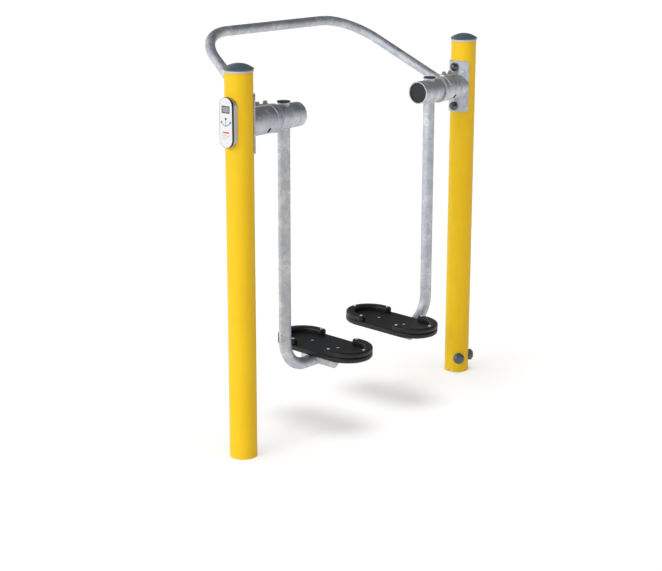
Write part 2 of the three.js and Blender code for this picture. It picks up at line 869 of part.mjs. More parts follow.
function addSaddle(side, group) {
  side.add(group, 'saddle_plate', saddlePlate(), materials.galvanised);
  for (const [place, rise] of Object.entries(boltPlaces())) {
    const at = [0, 0, pivotHeight + rise];
    side.add(group, `${place}_plate_bolt`, plateBolt(), materials.machinedSteel, at);
    if (side.name === 'right') side.add(group, `${place}_bolt_cap`, boltCap(), materials.blackPlastic, at);
  }
}

function addPivot(side, group) {
  side.add(group, 'housing', housing(), materials.galvanised);
  side.add(group, 'bearing_cartridge', cartridge(), materials.galvanised);
  for (const [place, x] of Object.entries(bearingPlaces())) {
    side.add(group, `${place}_bearing`, bearing(), materials.machinedSteel, [x, 0, 0]);
  }
  for (const [place, x] of Object.entries(lockScrewPlaces())) {
    side.add(group, `${place}_lock_screw`, lockScrew(), materials.machinedSteel, [x, 0, 0]);
  }
}

function addLeg(side, group) {
  side.add(group, 'shaft', shaft(), materials.machinedSteel);
  side.add(group, 'hub', hub(), materials.galvanised);
  side.add(group, 'end_plug', endPlug(), materials.blackPlastic);
  side.add(group, 'arm', arm(), materials.galvanised);
  side.add(group, 'stub_cap', stubCap(), materials.blackPlastic);
}

function addFoot(side, group) {
  side.add(group, 'foot_bracket', channel(), materials.galvanised);
  side.add(group, 'footplate', footplate(), materials.footRubber);
  side.add(group, 'front_rim', rim(), materials.footRubber);
  side.add(group, 'rear_rim', rim().scale(1, -1, 1), materials.footRubber);
  for (const [place, y] of Object.entries(footScrewPlaces())) {
    side.add(group, `${place}_foot_screw`, footScrew(), materials.machinedSteel, [0, y, 0]);
  }
}

function subgroup(parent, x, y, z) {
  const group = new THREE.Group();
  group.position.set(x, y, z);
  parent.add(group);
  return group;
}

function addSide(name, sign) {
  const side = sideTools(name, sign);
  const upright = subgroup(airWalker, (-sign * postSpacing) / 2, 0, 0);
  const pivot = subgroup(upright, 0, 0, pivotHeight);
  const swing = subgroup(pivot, 0, 0, 0);
  const foot = subgroup(swing, sign * footX, 0, plateRise - armDrop);
  foot.rotation.x = toeUp;
  addPost(side, upright);
  if (name === 'right') addAnchorBolts(side, upright);
  addSaddle(side, upright);
  addPivot(side, pivot);
  addLeg(side, swing);
  addFoot(side, foot);
  return upright;
}

function addSign(upright) {
  const board = subgroup(upright, 0, 0, pivotHeight + signRaise);
  const bodyFace = postRadius + seatGap + signBodyDepth;
  const gasketBack = bodyFace + seatGap;
  const gasketFace = gasketBack + signGasketDepth;
  const faceBack = gasketFace + seatGap;
  addPiece(board, 'sign_body', signBody(), materials.galvanised);
  addPiece(board, 'sign_gasket', signSlab(gasketBack, gasketFace), materials.blackPlastic);
  addPiece(board, 'sign_face', signSlab(faceBack, faceBack + signFaceDepth), materials.signWhite);
}

const leftUpright = addSide('left', 1);
addSide('right', -1);
addSign(leftUpright);
addPiece(airWalker, 'handlebar', handlebar(), materials.galvanised, [0, 0, pivotHeight]);

export default airWalker;
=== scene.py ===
# %% [markdown]
# An outdoor air walker, dressed in Blender.
#
# Two yellow posts carry a pivot unit each, a galvanised leg with a black footplate swings from each
# pivot, and a bent handlebar joins the two units. The engineering model arrives as plain faceted
# solids that may not be moved. This lesson builds the fine skins that stand for them, gives every
# surface a procedural finish, and lights the whole in a white studio.
#
# The first cell empties the file, loads the solids and keeps their overall box, against which the
# dressed model is measured at the end. The first cell empties the file, loads the solids and keeps their
# overall box, because nothing made here may grow beyond it. All sizes are in metres; MM turns the
# workshop's millimetres into them.

import json
import math

import bmesh
import bpy
from mathutils import Matrix, Vector

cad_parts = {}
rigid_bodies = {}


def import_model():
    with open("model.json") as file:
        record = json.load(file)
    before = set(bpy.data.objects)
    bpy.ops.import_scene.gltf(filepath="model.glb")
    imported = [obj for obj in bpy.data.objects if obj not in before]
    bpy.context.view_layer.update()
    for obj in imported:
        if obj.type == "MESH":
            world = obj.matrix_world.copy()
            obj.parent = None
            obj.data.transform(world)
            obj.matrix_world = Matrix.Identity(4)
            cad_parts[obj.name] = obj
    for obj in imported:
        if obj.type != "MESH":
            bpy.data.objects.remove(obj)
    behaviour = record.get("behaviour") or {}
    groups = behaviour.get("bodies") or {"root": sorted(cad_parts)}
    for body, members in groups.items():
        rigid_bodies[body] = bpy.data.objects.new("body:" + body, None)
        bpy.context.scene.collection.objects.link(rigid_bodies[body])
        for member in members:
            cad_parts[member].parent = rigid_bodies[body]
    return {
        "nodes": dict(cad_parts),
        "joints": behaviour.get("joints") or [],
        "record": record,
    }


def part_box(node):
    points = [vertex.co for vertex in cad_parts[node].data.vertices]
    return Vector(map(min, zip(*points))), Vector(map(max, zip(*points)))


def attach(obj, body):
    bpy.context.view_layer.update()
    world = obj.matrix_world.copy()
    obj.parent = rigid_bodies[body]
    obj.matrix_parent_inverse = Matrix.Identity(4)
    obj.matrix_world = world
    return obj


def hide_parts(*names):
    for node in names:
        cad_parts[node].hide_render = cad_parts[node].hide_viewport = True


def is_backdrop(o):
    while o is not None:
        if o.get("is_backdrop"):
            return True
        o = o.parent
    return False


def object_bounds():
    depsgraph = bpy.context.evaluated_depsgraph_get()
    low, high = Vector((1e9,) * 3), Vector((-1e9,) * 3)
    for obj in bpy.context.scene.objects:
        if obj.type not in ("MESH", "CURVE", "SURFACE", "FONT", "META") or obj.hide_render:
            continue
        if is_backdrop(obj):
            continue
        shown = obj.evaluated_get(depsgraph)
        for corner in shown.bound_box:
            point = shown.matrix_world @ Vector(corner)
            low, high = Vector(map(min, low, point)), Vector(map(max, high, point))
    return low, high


for leftover in list(bpy.data.objects):
    bpy.data.objects.remove(leftover)
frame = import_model()
cad_low, cad_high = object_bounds()
scene = bpy.context.scene
scene.view_settings.view_transform = "Standard"
MM = 0.001
print(f"{len(frame['nodes'])} solids, {(cad_high - cad_low).z:.3f} m tall")

# %% [markdown]
# The camera stands to the left of the walker and a little above it, and looks across both posts
# through a long lens, which keeps the posts nearly parallel. A lens and a place found by hand would
# do, but they were worked out from the posts' known sizes instead, so that the picture's edges fall
# where they should.

# %% Camera
LENS = 85
CAMERA_PLACE = Vector((-4.62896, -3.70741, 2.08719))
LOOK_AROUND = 0.6940 - math.pi / 2
LOOK_DOWN = 0.2601
CAMERA_ROLL = 0.0017

camera = bpy.data.objects.new("camera", bpy.data.cameras.new("camera"))
scene.collection.objects.link(camera)
camera.data.lens = LENS
turn = Matrix.Rotation(LOOK_AROUND, 4, "Z")
tilt = Matrix.Rotation(math.pi / 2 - LOOK_DOWN, 4, "X")
roll = Matrix.Rotation(CAMERA_ROLL, 4, "Z")
camera.matrix_world = Matrix.Translation(CAMERA_PLACE) @ turn @ tilt @ roll
scene.camera = camera
print(f"camera {CAMERA_PLACE.length:.2f} m from the ground between the posts, {LENS} mm lens")

# %% [markdown]
# Shader maths soon turns into a thicket of nodes when it is wired by hand. One small class wraps an
# output socket, so that a sum such as 0.4 + 0.1 * grain adds its Math nodes by itself. A second
# class owns a node tree and adds any other node: its settings are set first, because they decide
# which sockets the node shows, and then its sockets get values or links.

# %% Shader arithmetic
class Signal:
    """An output socket that can be used in sums."""

    def __init__(self, recipe, socket):
        self.recipe = recipe
        self.socket = socket

    def other(self, name):
        """Another output of the same node."""
        return Signal(self.recipe, self.socket.node.outputs[name])

    def __add__(self, value):
        return worked("ADD", self, value)

    def __radd__(self, value):
        return worked("ADD", value, self)

    def __sub__(self, value):
        return worked("SUBTRACT", self, value)

    def __rsub__(self, value):
        return worked("SUBTRACT", value, self)

    def __mul__(self, value):
        return worked("MULTIPLY", self, value)

    def __rmul__(self, value):
        return worked("MULTIPLY", value, self)

    def __truediv__(self, value):
        return worked("DIVIDE", self, value)

    def __lt__(self, value):
        return worked("LESS_THAN", self, value)

    def __gt__(self, value):
        return worked("GREATER_THAN", self, value)

    def __abs__(self):
        return worked("ABSOLUTE", self)


def worked(operation, *values):
    """One Math node on signals and numbers."""
    recipe = next(value.recipe for value in values if isinstance(value, Signal))
    return recipe.node("ShaderNodeMath", {"operation": operation}, dict(enumerate(values)))


class Recipe:
    """A node tree of a material or of the world, and the way its nodes are added."""

    def __init__(self, owner):
        owner.use_nodes = True
        self.owner = owner
        self.tree = owner.node_tree
        self.tree.nodes.clear()

    def node(self, kind, settings=None, sockets=None, out=0):
        made = self.tree.nodes.new(kind)
        for name, value in (settings or {}).items():
            setattr(made, name, value)
        for name, value in (sockets or {}).items():
            self.feed(find_socket(made.inputs, name), value)
        if made.outputs:
            return Signal(self, find_socket(made.outputs, out))

    def feed(self, socket, value):
        if isinstance(value, Signal):
            self.tree.links.new(value.socket, socket)
        else:
            socket.default_value = value


def find_socket(sockets, name):
    """A socket by its number, or the one in use among those that share a name."""
    if isinstance(name, int):
        return sockets[name]
    return next(socket for socket in sockets if socket.enabled and socket.name == name)


print("shader arithmetic is ready")

# %% [markdown]
# Finishes are described in the surface's own coordinates, in metres, so the grain keeps its size on
# every piece and swings with the legs. A few patterns come back in most of them: soft clouds, cells
# with one random value each, a smooth step between two values, and fine relief. They could be
# typed out each time, but as methods they keep each finish down to what makes it special.

# %% Patterns that the finishes share
def seen(red, green, blue):
    """A colour as read from a screen, 0 to 255, turned into the linear values of a shader."""
    shares = [value / 255 for value in (red, green, blue)]
    linear = [s / 12.92 if s <= 0.04045 else ((s + 0.055) / 1.055) ** 2.4 for s in shares]
    return (*linear, 1.0)


class Finish(Recipe):
    """A material that is made on a piece's own coordinates."""

    def __init__(self, name):
        super().__init__(bpy.data.materials.new(name))
        self.place = self.node("ShaderNodeTexCoord", out="Object")

    def cloud(self, size, detail=2.0, place=None):
        sockets = {"Vector": place or self.place, "Scale": 1 / size, "Detail": detail}
        return self.node("ShaderNodeTexNoise", None, sockets)

    def warped(self, size, reach):
        """Coordinates that wander by up to half of reach, in waves of the given size."""
        wander = self.cloud(size).other("Color")
        sockets = {0: wander, 1: (reach, reach, reach), 2: self.place}
        return self.node("ShaderNodeVectorMath", {"operation": "MULTIPLY_ADD"}, sockets)

    def cells(self, size, place=None):
        """One random value from 0 to 1 in each cell."""
        sockets = {"Vector": place or self.place, "Scale": 1 / size}
        cell = self.node("ShaderNodeTexVoronoi", None, sockets, "Color")
        return self.node("ShaderNodeSeparateColor", None, {"Color": cell}, "Red")

    def step(self, value, low, high, from_value=0.0, to_value=1.0):
        """Goes smoothly from from_value to to_value as the value goes from low to high."""
        sockets = {"Value": value, "From Min": low, "From Max": high,
                   "To Min": from_value, "To Max": to_value}
        return self.node("ShaderNodeMapRange", {"interpolation_type": "SMOOTHSTEP"}, sockets)

    def mixed(self, share, first, second):
        sockets = {"Factor": share, "A": first, "B": second}
        return self.node("ShaderNodeMix", {"data_type": "RGBA"}, sockets, "Result")

    def relief(self, height, depth, below=None):
        sockets = {"Height": height, "Distance": depth}
        if below:
            sockets["Normal"] = below
        return self.node("ShaderNodeBump", None, sockets)

    def done(self, **sockets):
        """The glossy shader, with words joined by _ as in Base_Color, linked to the output."""
        named = {name.replace("_", " "): value for name, value in sockets.items()}
        shader = self.node("ShaderNodeBsdfPrincipled", None, named)
        self.node("ShaderNodeOutputMaterial", None, {"Surface": shader})
        return self.owner


print("patterns: cloud, warped, cells, step, mixed, relief")

# %% [markdown]
# Powder coat is sprayed on as dry dust and baked, so it flows into a smooth skin with a faint orange
# peel. A plain yellow would look like plastic film. Here the tone drifts a little along the post,
# the gloss varies with it, and two sizes of relief break up the highlight.

# %% Yellow powder coat
def yellow_powder_coat():
    coat = Finish("yellow_powder_coat")
    drift = coat.cloud(180 * MM)
    peel = coat.cloud(2.2 * MM, 1.0)
    wave = coat.cloud(14 * MM, 1.0)
    shade = coat.step(drift, 0.3, 0.7)
    colour = coat.mixed(shade, seen(246, 201, 20), seen(248, 206, 26))
    relief = coat.relief(peel, 0.03 * MM, coat.relief(wave, 0.1 * MM))
    gloss = 0.4 + 0.08 * peel + 0.05 * drift
    return coat.done(Base_Color=colour, Roughness=gloss, Normal=relief, Specular_IOR_Level=0.3)


yellow = yellow_powder_coat()
print("made", yellow.name)

# %% [markdown]
# Hot-dip galvanising leaves a zinc skin that freezes into patches, the spangle. Each patch mirrors a
# little differently, which makes the soft mottling on the tubes. Large cells with wandering edges
# give the patches, small ones break them up, and clouds let them fade in and out. Both colour and
# gloss follow them. The same recipe serves the weld beads and the cast sign body in other tones.

# %% Galvanised steel and other bare metals
def zinc_skin(name, dark, light, patch, gloss, unevenness):
    zinc = Finish(name)
    wander = zinc.warped(patch * 1.5, patch)
    patches = zinc.cells(patch, wander)
    flecks = zinc.cells(patch / 4, wander)
    drift = zinc.cloud(patch * 5, 3.0)
    fade = zinc.step(drift, 0.35, 0.65, 0.35, 1.0)
    mottle = fade * (0.65 * patches + 0.35 * flecks)
    grain = zinc.cloud(0.9 * MM, 3.0)
    colour = zinc.mixed(mottle, dark, light)
    dents = zinc.relief(zinc.cloud(patch * 1.2, 2.0), unevenness)
    relief = zinc.relief(grain, 0.04 * MM, dents)
    roughness = gloss + 0.16 * mottle + 0.06 * grain
    return zinc.done(Base_Color=colour, Metallic=1.0, Roughness=roughness, Normal=relief)


galvanised = zinc_skin("galvanised_steel", seen(190, 195, 203), seen(246, 247, 250),
                       18 * MM, 0.57, 0.4 * MM)
galvanised_weld = zinc_skin("galvanised_weld", seen(180, 184, 192), seen(232, 234, 238),
                            5 * MM, 0.5, 0.2 * MM)
cast_grey = zinc_skin("cast_grey", seen(190, 192, 197), seen(206, 208, 212),
                      9 * MM, 0.42, 0.05 * MM)
print("made", galvanised.name, galvanised_weld.name, cast_grey.name)

# %% [markdown]
# Screws, nuts and shafts are turned or rolled steel. Turning leaves very fine grooves round the piece.
# They could be drawn as rings, but at this size a fine cloud suggests them well enough. The screws in
# the footplates are bright, and the lock screws on the housings have a duller plating. The bearing
# sleeve behind the drain slot gets a dark tone that paints the shade inside the slot, so the slot looks
# black.

# %% Machined and plated steel, and steel toned as painted shade
def turned_steel(name, tone, gloss, metal=1.0):
    steel = Finish(name)
    lines = steel.cloud(0.7 * MM, 2.0)
    smudge = steel.cloud(8 * MM)
    colour = steel.mixed(smudge, [0.86 * value for value in tone[:3]] + [1.0], tone)
    relief = steel.relief(lines, 0.02 * MM)
    return steel.done(Base_Color=colour, Metallic=metal, Roughness=gloss + 0.12 * smudge, Normal=relief)


machined = turned_steel("machined_steel", seen(214, 214, 215), 0.26, 0.5)
plated = turned_steel("plated_steel", seen(150, 144, 134), 0.3)
# This dark tone is painted shade: it makes the inside of the drain slot look black.
painted_shade_steel = turned_steel("darkened_steel", seen(40, 41, 43), 0.5)
print("made", machined.name, plated.name, painted_shade_steel.name)

# %% [markdown]
# The plastics differ in tone and in grain. The footplates have a matt, finely grained skin that
# grips a shoe, and are a little worn and dusty in the grain. The post caps and the covers near the
# ground are smoother and slate blue, and the caps on the saddle plate are nearly black. Both shine
# under a thin clear lacquer. One recipe with a grain size, a depth and a gloss covers them all.

# %% Moulded plastics
LACQUER_IOR = 1.8
LACQUER_ROUGHNESS = 0.12


def moulded_plastic(name, tone, worn_tone, grain_size, grain_depth, gloss, sheen=0.5, lacquer=0.0):
    plastic = Finish(name)
    grain = plastic.cloud(grain_size, 2.0)
    flow = plastic.cloud(35 * MM, 3.0)
    wear = plastic.step(flow, 0.45, 0.75, 0.0, 0.5) + plastic.step(grain, 0.55, 0.75, 0.0, 0.25)
    colour = plastic.mixed(wear, tone, worn_tone)
    relief = plastic.relief(grain, grain_depth, plastic.relief(flow, 0.08 * MM))
    roughness = gloss + 0.1 * flow + 0.06 * grain
    return plastic.done(Base_Color=colour, Roughness=roughness, Normal=relief, Specular_IOR_Level=sheen,
                        Coat_Weight=lacquer, Coat_IOR=LACQUER_IOR, Coat_Roughness=LACQUER_ROUGHNESS)


foot_plastic = moulded_plastic("foot_plastic", seen(17, 18, 20), seen(25, 26, 28),
                               1.1 * MM, 0.12 * MM, 0.36, 0.45)
black_plastic = moulded_plastic("black_plastic", seen(24, 25, 27), seen(30, 31, 33),
                                0.6 * MM, 0.02 * MM, 0.36)
cover_plastic = moulded_plastic("cover_plastic", seen(34, 43, 48), seen(40, 49, 54),
                                0.8 * MM, 0.02 * MM, 0.16, 0.8, 0.5)
slate_plastic = moulded_plastic("slate_plastic", seen(58, 74, 83), seen(65, 81, 90),
                                0.8 * MM, 0.03 * MM, 0.26, 0.5, 0.4)
grey_trim = moulded_plastic("grey_trim", seen(206, 206, 212), seen(214, 214, 219),
                            0.8 * MM, 0.03 * MM, 0.4)
print("made", *(made.name for made in (foot_plastic, black_plastic, cover_plastic, slate_plastic, grey_trim)))

# %% [markdown]
# Every piece here is round, bent or has round ends, so it can be drawn as rings of points that are
# skinned one after the other. That gives clean faces and lets each edge have a true small radius,
# which catches the light as real edges do. A stock cylinder has neither.
#
# The cell holds the ring, the skin, the rounding of a profile's corners, and the bent route that a
# tube bender makes.

# %% Rings, skins and routes
MOST_OF_EDGE = 0.45


def circle(radius, height, sides=72, flats=None):
    """A ring about Z. With flats, it is cut to a hexagon of that size across its flats."""
    points = []
    for step in range(sides):
        angle = math.tau * step / sides
        reach = radius
        if flats:
            to_flat = (angle + math.pi / 6) % (math.pi / 3) - math.pi / 6
            reach = min(radius, flats / 2 / math.cos(to_flat))
        points.append(Vector((reach * math.cos(angle), reach * math.sin(angle), height)))
    return points


def skin(rings, closed=False):
    """Points and faces over a stack of rings, capped at both ends unless it closes on itself."""
    count = len(rings[0])
    points = [point for ring in rings for point in ring]
    faces = []
    for index in range(len(rings) if closed else len(rings) - 1):
        low = index * count
        high = (index + 1) % len(rings) * count
        for k in range(count):
            nxt = (k + 1) % count
            faces.append((low + k, low + nxt, high + nxt, high + k))
    if not closed:
        faces.append(tuple(range(count)))
        faces.append(tuple(range(len(points) - count, len(points))))
    return points, faces


def softened(corners, radius, closed=False, steps=3):
    """A profile whose corners are rounded by up to the radius, or less where an edge is short."""
    points = [Vector(corner) for corner in corners]
    soft = []
    for index, corner in enumerate(points):
        if not closed and index in (0, len(points) - 1):
            soft.append(corner)
            continue
        to_last = points[index - 1] - corner
        to_next = points[(index + 1) % len(points)] - corner
        start = corner + to_last.normalized() * min(radius, to_last.length * MOST_OF_EDGE)
        end = corner + to_next.normalized() * min(radius, to_next.length * MOST_OF_EDGE)
        for step in range(steps + 1):
            t = step / steps
            soft.append(start * (1 - t) ** 2 + corner * 2 * t * (1 - t) + end * t ** 2)
    return soft


def turned(profile, closed=False, sides=72):
    """A skin turned about Z from a profile of (radius, height) points."""
    return skin([circle(radius, height, sides) for radius, height in profile], closed)


def bent_route(corners, radius, steps=20):
    """The points of a tube's middle line: straight, with an arc at each inner corner."""
    points = [corners[0]]
    for before, corner, after in zip(corners, corners[1:], corners[2:]):
        arriving = (corner - before).normalized()
        leaving = (after - corner).normalized()
        angle = arriving.angle(leaving)
        start = corner - arriving * radius * math.tan(angle / 2)
        across = (leaving - arriving * leaving.dot(arriving)).normalized()
        for step in range(steps + 1):
            part = angle * step / steps
            swing = arriving * math.sin(part) + across * (1 - math.cos(part))
            points.append(start + swing * radius)
    return points + [corners[-1]]


def swept(route, radius, sides=56):
    """Rings of a tube carried along a route without twisting."""
    headings = [(b - a).normalized() for a, b in zip(route, route[1:])]
    tangents = [headings[0]]
    tangents += [(a + b).normalized() for a, b in zip(headings, headings[1:])]
    tangents.append(headings[-1])
    side = tangents[0].orthogonal().normalized()
    rings = []
    for index, (centre, tangent) in enumerate(zip(route, tangents)):
        if index:
            side = tangents[index - 1].rotation_difference(tangent) @ side
        up = tangent.cross(side)
        rings.append([centre + (side * math.cos(a) + up * math.sin(a)) * radius
                      for a in (math.tau * k / sides for k in range(sides))])
    return rings


print("ring tools are ready")

# %% [markdown]
# The walker's two sides mirror each other. Each piece is drawn once, in a frame whose X axis starts
# at the post's axis and points inward, and the side puts it in its place. The pivot's frame starts
# at the pivot's height, and the foot's frame leans with the footplate, toes up. Positions along the
# pivot are read from the solids themselves, so a piece can't drift away from what it stands for.

# %% The two sides
joint_place = {joint["name"]: joint["pos_m"] for joint in frame["joints"]}
PIVOT_HEIGHT = joint_place["left_swing"][2]
TOE_UP = math.radians(2.2)
DECK_HEIGHT = 320 * MM
POST_X = sum(corner.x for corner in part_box("right_post")) / 2


class Side:
    """One side of the walker: where its pieces go, and what its solids measure."""

    def __init__(self, name, inward):
        self.name = name
        self.inward = inward
        self.leg = f"{name}_leg"
        low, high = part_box(f"{name}_footplate")
        self.foot = Vector((POST_X - abs(low.x + high.x) / 2, 0, DECK_HEIGHT))

    def at_post(self, point):
        return Vector((self.inward * (point.x - POST_X), point.y, point.z))

    def at_pivot(self, point):
        return self.at_post(point + Vector((0, 0, PIVOT_HEIGHT)))

    def at_foot(self, point):
        return self.at_post(Matrix.Rotation(TOE_UP, 3, "X") @ point + self.foot)

    def span(self, node):
        """How far inward from the post's axis a node starts and ends."""
        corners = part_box(f"{self.name}_{node}")
        return sorted(POST_X - abs(corner.x) for corner in corners)

    def radius(self, node):
        """The radius of a node that is round about the pivot's axis, taken downward."""
        return PIVOT_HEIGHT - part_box(f"{self.name}_{node}")[0].z


SIDES = [Side("left", 1), Side("right", -1)]
for side in SIDES:
    print(f"{side.name}: hub from {side.span('hub')[0]:.4f} to {side.span('hub')[1]:.4f} m inward")

# %% [markdown]
# One function turns a skin into a piece: it puts the points in place, makes all faces look outward,
# cuts holes where a piece has them, and shades smoothly with crisp edges. The normals are weighted
# by area, so that a flat face stays flat beside its rounded edge. The piece then rides on its body,
# takes its finish, and stands for the solids that it replaces. Pieces that touch keep a hairline
# between them, as the solids do.

# %% From skin to piece
EDGE_ANGLE = math.radians(38)
HAIRLINE = 0.3 * MM


def mesh_from(name, points, faces):
    mesh = bpy.data.meshes.new(name)
    mesh.from_pydata(points, [], faces)
    shell = bmesh.new()
    shell.from_mesh(mesh)
    bmesh.ops.recalc_face_normals(shell, faces=shell.faces)
    shell.to_mesh(mesh)
    shell.free()
    return mesh


def placed(shape, place):
    """A shape whose points are put in place by a function of a point."""
    points, faces = shape
    return [place(point) for point in points], faces


def settle(piece):
    """Applies the modifiers so far, so that the mesh itself has the shape."""
    graph = bpy.context.evaluated_depsgraph_get()
    piece.data = bpy.data.meshes.new_from_object(piece.evaluated_get(graph))
    piece.modifiers.clear()


def carve(piece, cutters):
    """Cuts closed shapes out of the piece."""
    for points, faces in cutters:
        tool = bpy.data.objects.new("cutter", mesh_from("cutter", points, faces))
        scene.collection.objects.link(tool)
        hole = piece.modifiers.new("hole", "BOOLEAN")
        hole.operation = "DIFFERENCE"
        hole.solver = "EXACT"
        hole.object = tool
        settle(piece)
        bpy.data.objects.remove(tool)


def add_piece(name, shape, place, body, finish, stands_for=(), cutters=()):
    """A finished piece from a shape, put in place with all that is cut out of it."""
    piece = bpy.data.objects.new(name, mesh_from(name, *placed(shape, place)))
    scene.collection.objects.link(piece)
    carve(piece, [placed(cutter, place) for cutter in cutters])
    piece.data.name = name
    for face in piece.data.polygons:
        face.use_smooth = True
    piece.data.set_sharp_from_angle(angle=EDGE_ANGLE)
    piece.data.materials.clear()
    piece.data.materials.append(finish)
    even = piece.modifiers.new("even_normals", "WEIGHTED_NORMAL")
    even.keep_sharp = True
    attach(piece, body)
    if stands_for:
        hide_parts(*stands_for)


def outward_x(point):
    """Turns a point so that the Z axis comes to lie along the X axis."""
    return Vector((point.z, point.x, point.y))


def along_pivot(shape):
    """Lays a shape that was drawn about Z along the pivot's axis."""
    return placed(shape, outward_x)


def moved(shape, offset):
    return placed(shape, lambda point: point + Vector(offset))


print("pieces can be made")

# %% [markdown]
# The post is a steel tube, 101.6 mm thick, that stands on the ground. A small half-round notch at
# its foot lets water out. On top sit a light grey ring and a slate blue cap, a shallow dome with a
# sharp rim. Tubes and domes could start from stock shapes, but turning them from a profile gives the
# wall, the rounded edges and the true dome at once.

# %% Posts with rings and caps
POST_WALL = 4 * MM
NOTCH_RADIUS = 6.5 * MM
NOTCH_CENTRE = 1.5 * MM
NOTCH_ANGLE = math.radians(3)
RING_WALL = 8 * MM
CAP_TAPER = 4.2 * MM
CAP_RIM = 0.8 * MM
CAP_PLUG_INSET = 10.9 * MM
CAP_PLUG_WALL = 3 * MM
POST_EDGE = 0.8 * MM
RING_EDGE = 1.2 * MM
CAP_EDGE = 0.5 * MM
CUT_PAST = 2 * MM
WALL_SPLITS = (0.02, 0.5, 0.98)


def dome(radius, base, rise, steps=14):
    """The profile of a shallow dome, part of a sphere, from its rim to just before its top."""
    sphere = (radius ** 2 + rise ** 2) / (2 * rise)
    spread = math.asin(radius / sphere)
    angles = [spread * (1 - step / steps) for step in range(steps)]
    top = [(sphere * math.sin(a), base + rise - sphere * (1 - math.cos(a))) for a in angles]
    return top + [(radius * 0.02, base + rise)]


def along_radius(shape, angle, height):
    """Turns a shape drawn about Z so that its axis runs out of the post at an angle and height."""
    spin = Matrix.Rotation(angle, 3, "Z")
    return placed(shape, lambda point: spin @ outward_x(point) + Vector((0, 0, height)))


for side in SIDES:
    low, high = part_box(f"{side.name}_post")
    post_radius = (high.y - low.y) / 2
    post_height = high.z
    inner = post_radius - POST_WALL
    profile = softened([(inner, 0), (post_radius, 0), (post_radius, post_height),
                        (inner, post_height)], POST_EDGE, closed=True)
    # Rings split the tall outer wall, so that the notch only cuts into short faces near the foot.
    splits = [Vector((post_radius, post_height * share)) for share in WALL_SPLITS]
    upper_half = next(i for i, point in enumerate(profile) if point.y > post_height / 2)
    profile[upper_half:upper_half] = splits
    drill = turned([(NOTCH_RADIUS, inner - CUT_PAST), (NOTCH_RADIUS, post_radius + CUT_PAST)], sides=32)
    notch = along_radius(drill, NOTCH_ANGLE, NOTCH_CENTRE)
    add_piece(f"{side.name}_post_tube", turned(profile, True, 128), side.at_post, "frame",
              yellow, [f"{side.name}_post"], [notch])

    low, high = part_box(f"{side.name}_post_ring")
    ring_radius = (high.y - low.y) / 2
    ring = softened([(ring_radius - RING_WALL, low.z), (ring_radius, low.z), (ring_radius, high.z),
                     (ring_radius - RING_WALL, high.z)], RING_EDGE, closed=True)
    add_piece(f"{side.name}_top_ring", turned(ring, True, 96), side.at_post, "frame",
              grey_trim, [f"{side.name}_post_ring"])

    rim_bottom = high.z + HAIRLINE
    low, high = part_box(f"{side.name}_post_cap")
    cap_radius = (high.y - low.y) / 2
    plug = cap_radius - CAP_PLUG_INSET
    edge = rim_bottom + CAP_TAPER
    foot = [(plug - CAP_PLUG_WALL, low.z), (plug, low.z), (plug, rim_bottom),
            (ring_radius, rim_bottom)]
    cap = softened(foot + [(cap_radius, edge), (cap_radius, edge + CAP_RIM)], CAP_EDGE)
    cap += dome(cap_radius, edge + CAP_RIM, high.z - edge - CAP_RIM)[1:]
    add_piece(f"{side.name}_dome_cap", turned(cap, sides=96), side.at_post, "frame",
              slate_plastic, [f"{side.name}_post_cap"])
print(f"posts {post_height:.4f} m tall, radius {post_radius:.4f} m")

# %% [markdown]
# The saddle plate is flat steel, bent round the post and bolted through it. It could be cut out of a
# wide tube, but round corners are hard to cut there. So it is drawn flat with rounded corners, sliced
# into narrow strips, given its thickness, and then rolled onto the post, as a workshop does it.

# %% Saddle plates
PLATE_THICKNESS = 5.9 * MM
PLATE_HALF_ANGLE = math.radians(62)
PLATE_CORNER = 17 * MM
PLATE_EDGE = 1.6 * MM
STRIPS = 44
CORNER_STEPS = 10


def flat_plate(half_width, half_height):
    """A flat plate with rounded corners in the XZ plane, sliced into upright strips."""
    outline = []
    for across, up, quarter in ((1, 1, 0), (-1, 1, 1), (-1, -1, 2), (1, -1, 3)):
        for step in range(CORNER_STEPS + 1):
            angle = (quarter + step / CORNER_STEPS) * math.pi / 2
            outline.append((across * (half_width - PLATE_CORNER) + PLATE_CORNER * math.cos(angle), 0,
                            up * (half_height - PLATE_CORNER) + PLATE_CORNER * math.sin(angle)))
    sheet = bmesh.new()
    sheet.faces.new([sheet.verts.new(point) for point in outline])
    for strip in range(1, STRIPS):
        at = half_width * (2 * strip / STRIPS - 1)
        everything = sheet.verts[:] + sheet.edges[:] + sheet.faces[:]
        bmesh.ops.bisect_plane(sheet, geom=everything, plane_co=(at, 0, 0), plane_no=(1, 0, 0))
    back = bmesh.ops.extrude_face_region(sheet, geom=sheet.faces[:])["geom"]
    for part in back:
        if isinstance(part, bmesh.types.BMVert):
            part.co.y = PLATE_THICKNESS
    return sheet


def rolled_plate(outer_radius, half_height, height):
    """The plate rolled round the post, with its edges rounded, as points and faces."""
    sheet = flat_plate(outer_radius * PLATE_HALF_ANGLE, half_height)
    bmesh.ops.recalc_face_normals(sheet, faces=sheet.faces)
    rim = [edge for edge in sheet.edges if edge.calc_face_angle() > EDGE_ANGLE]
    bmesh.ops.bevel(sheet, geom=rim, offset=PLATE_EDGE, segments=3, profile=0.5, affect="EDGES")
    sheet.verts.index_update()
    points = []
    for vertex in sheet.verts:
        angle = vertex.co.x / outer_radius
        reach = outer_radius - vertex.co.y
        points.append(Vector((reach * math.cos(angle), reach * math.sin(angle), height + vertex.co.z)))
    faces = [tuple(vertex.index for vertex in face.verts) for face in sheet.faces]
    sheet.free()
    return points, faces


for side in SIDES:
    low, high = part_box(f"{side.name}_saddle_plate")
    plate_outer = side.span("saddle_plate")[1]
    plate = rolled_plate(plate_outer, (high.z - low.z) / 2, PIVOT_HEIGHT)
    add_piece(f"{side.name}_rolled_saddle", plate, side.at_post, "frame", galvanised,
              [f"{side.name}_saddle_plate"])
print(f"saddle plates rolled to a radius of {plate_outer:.4f} m")

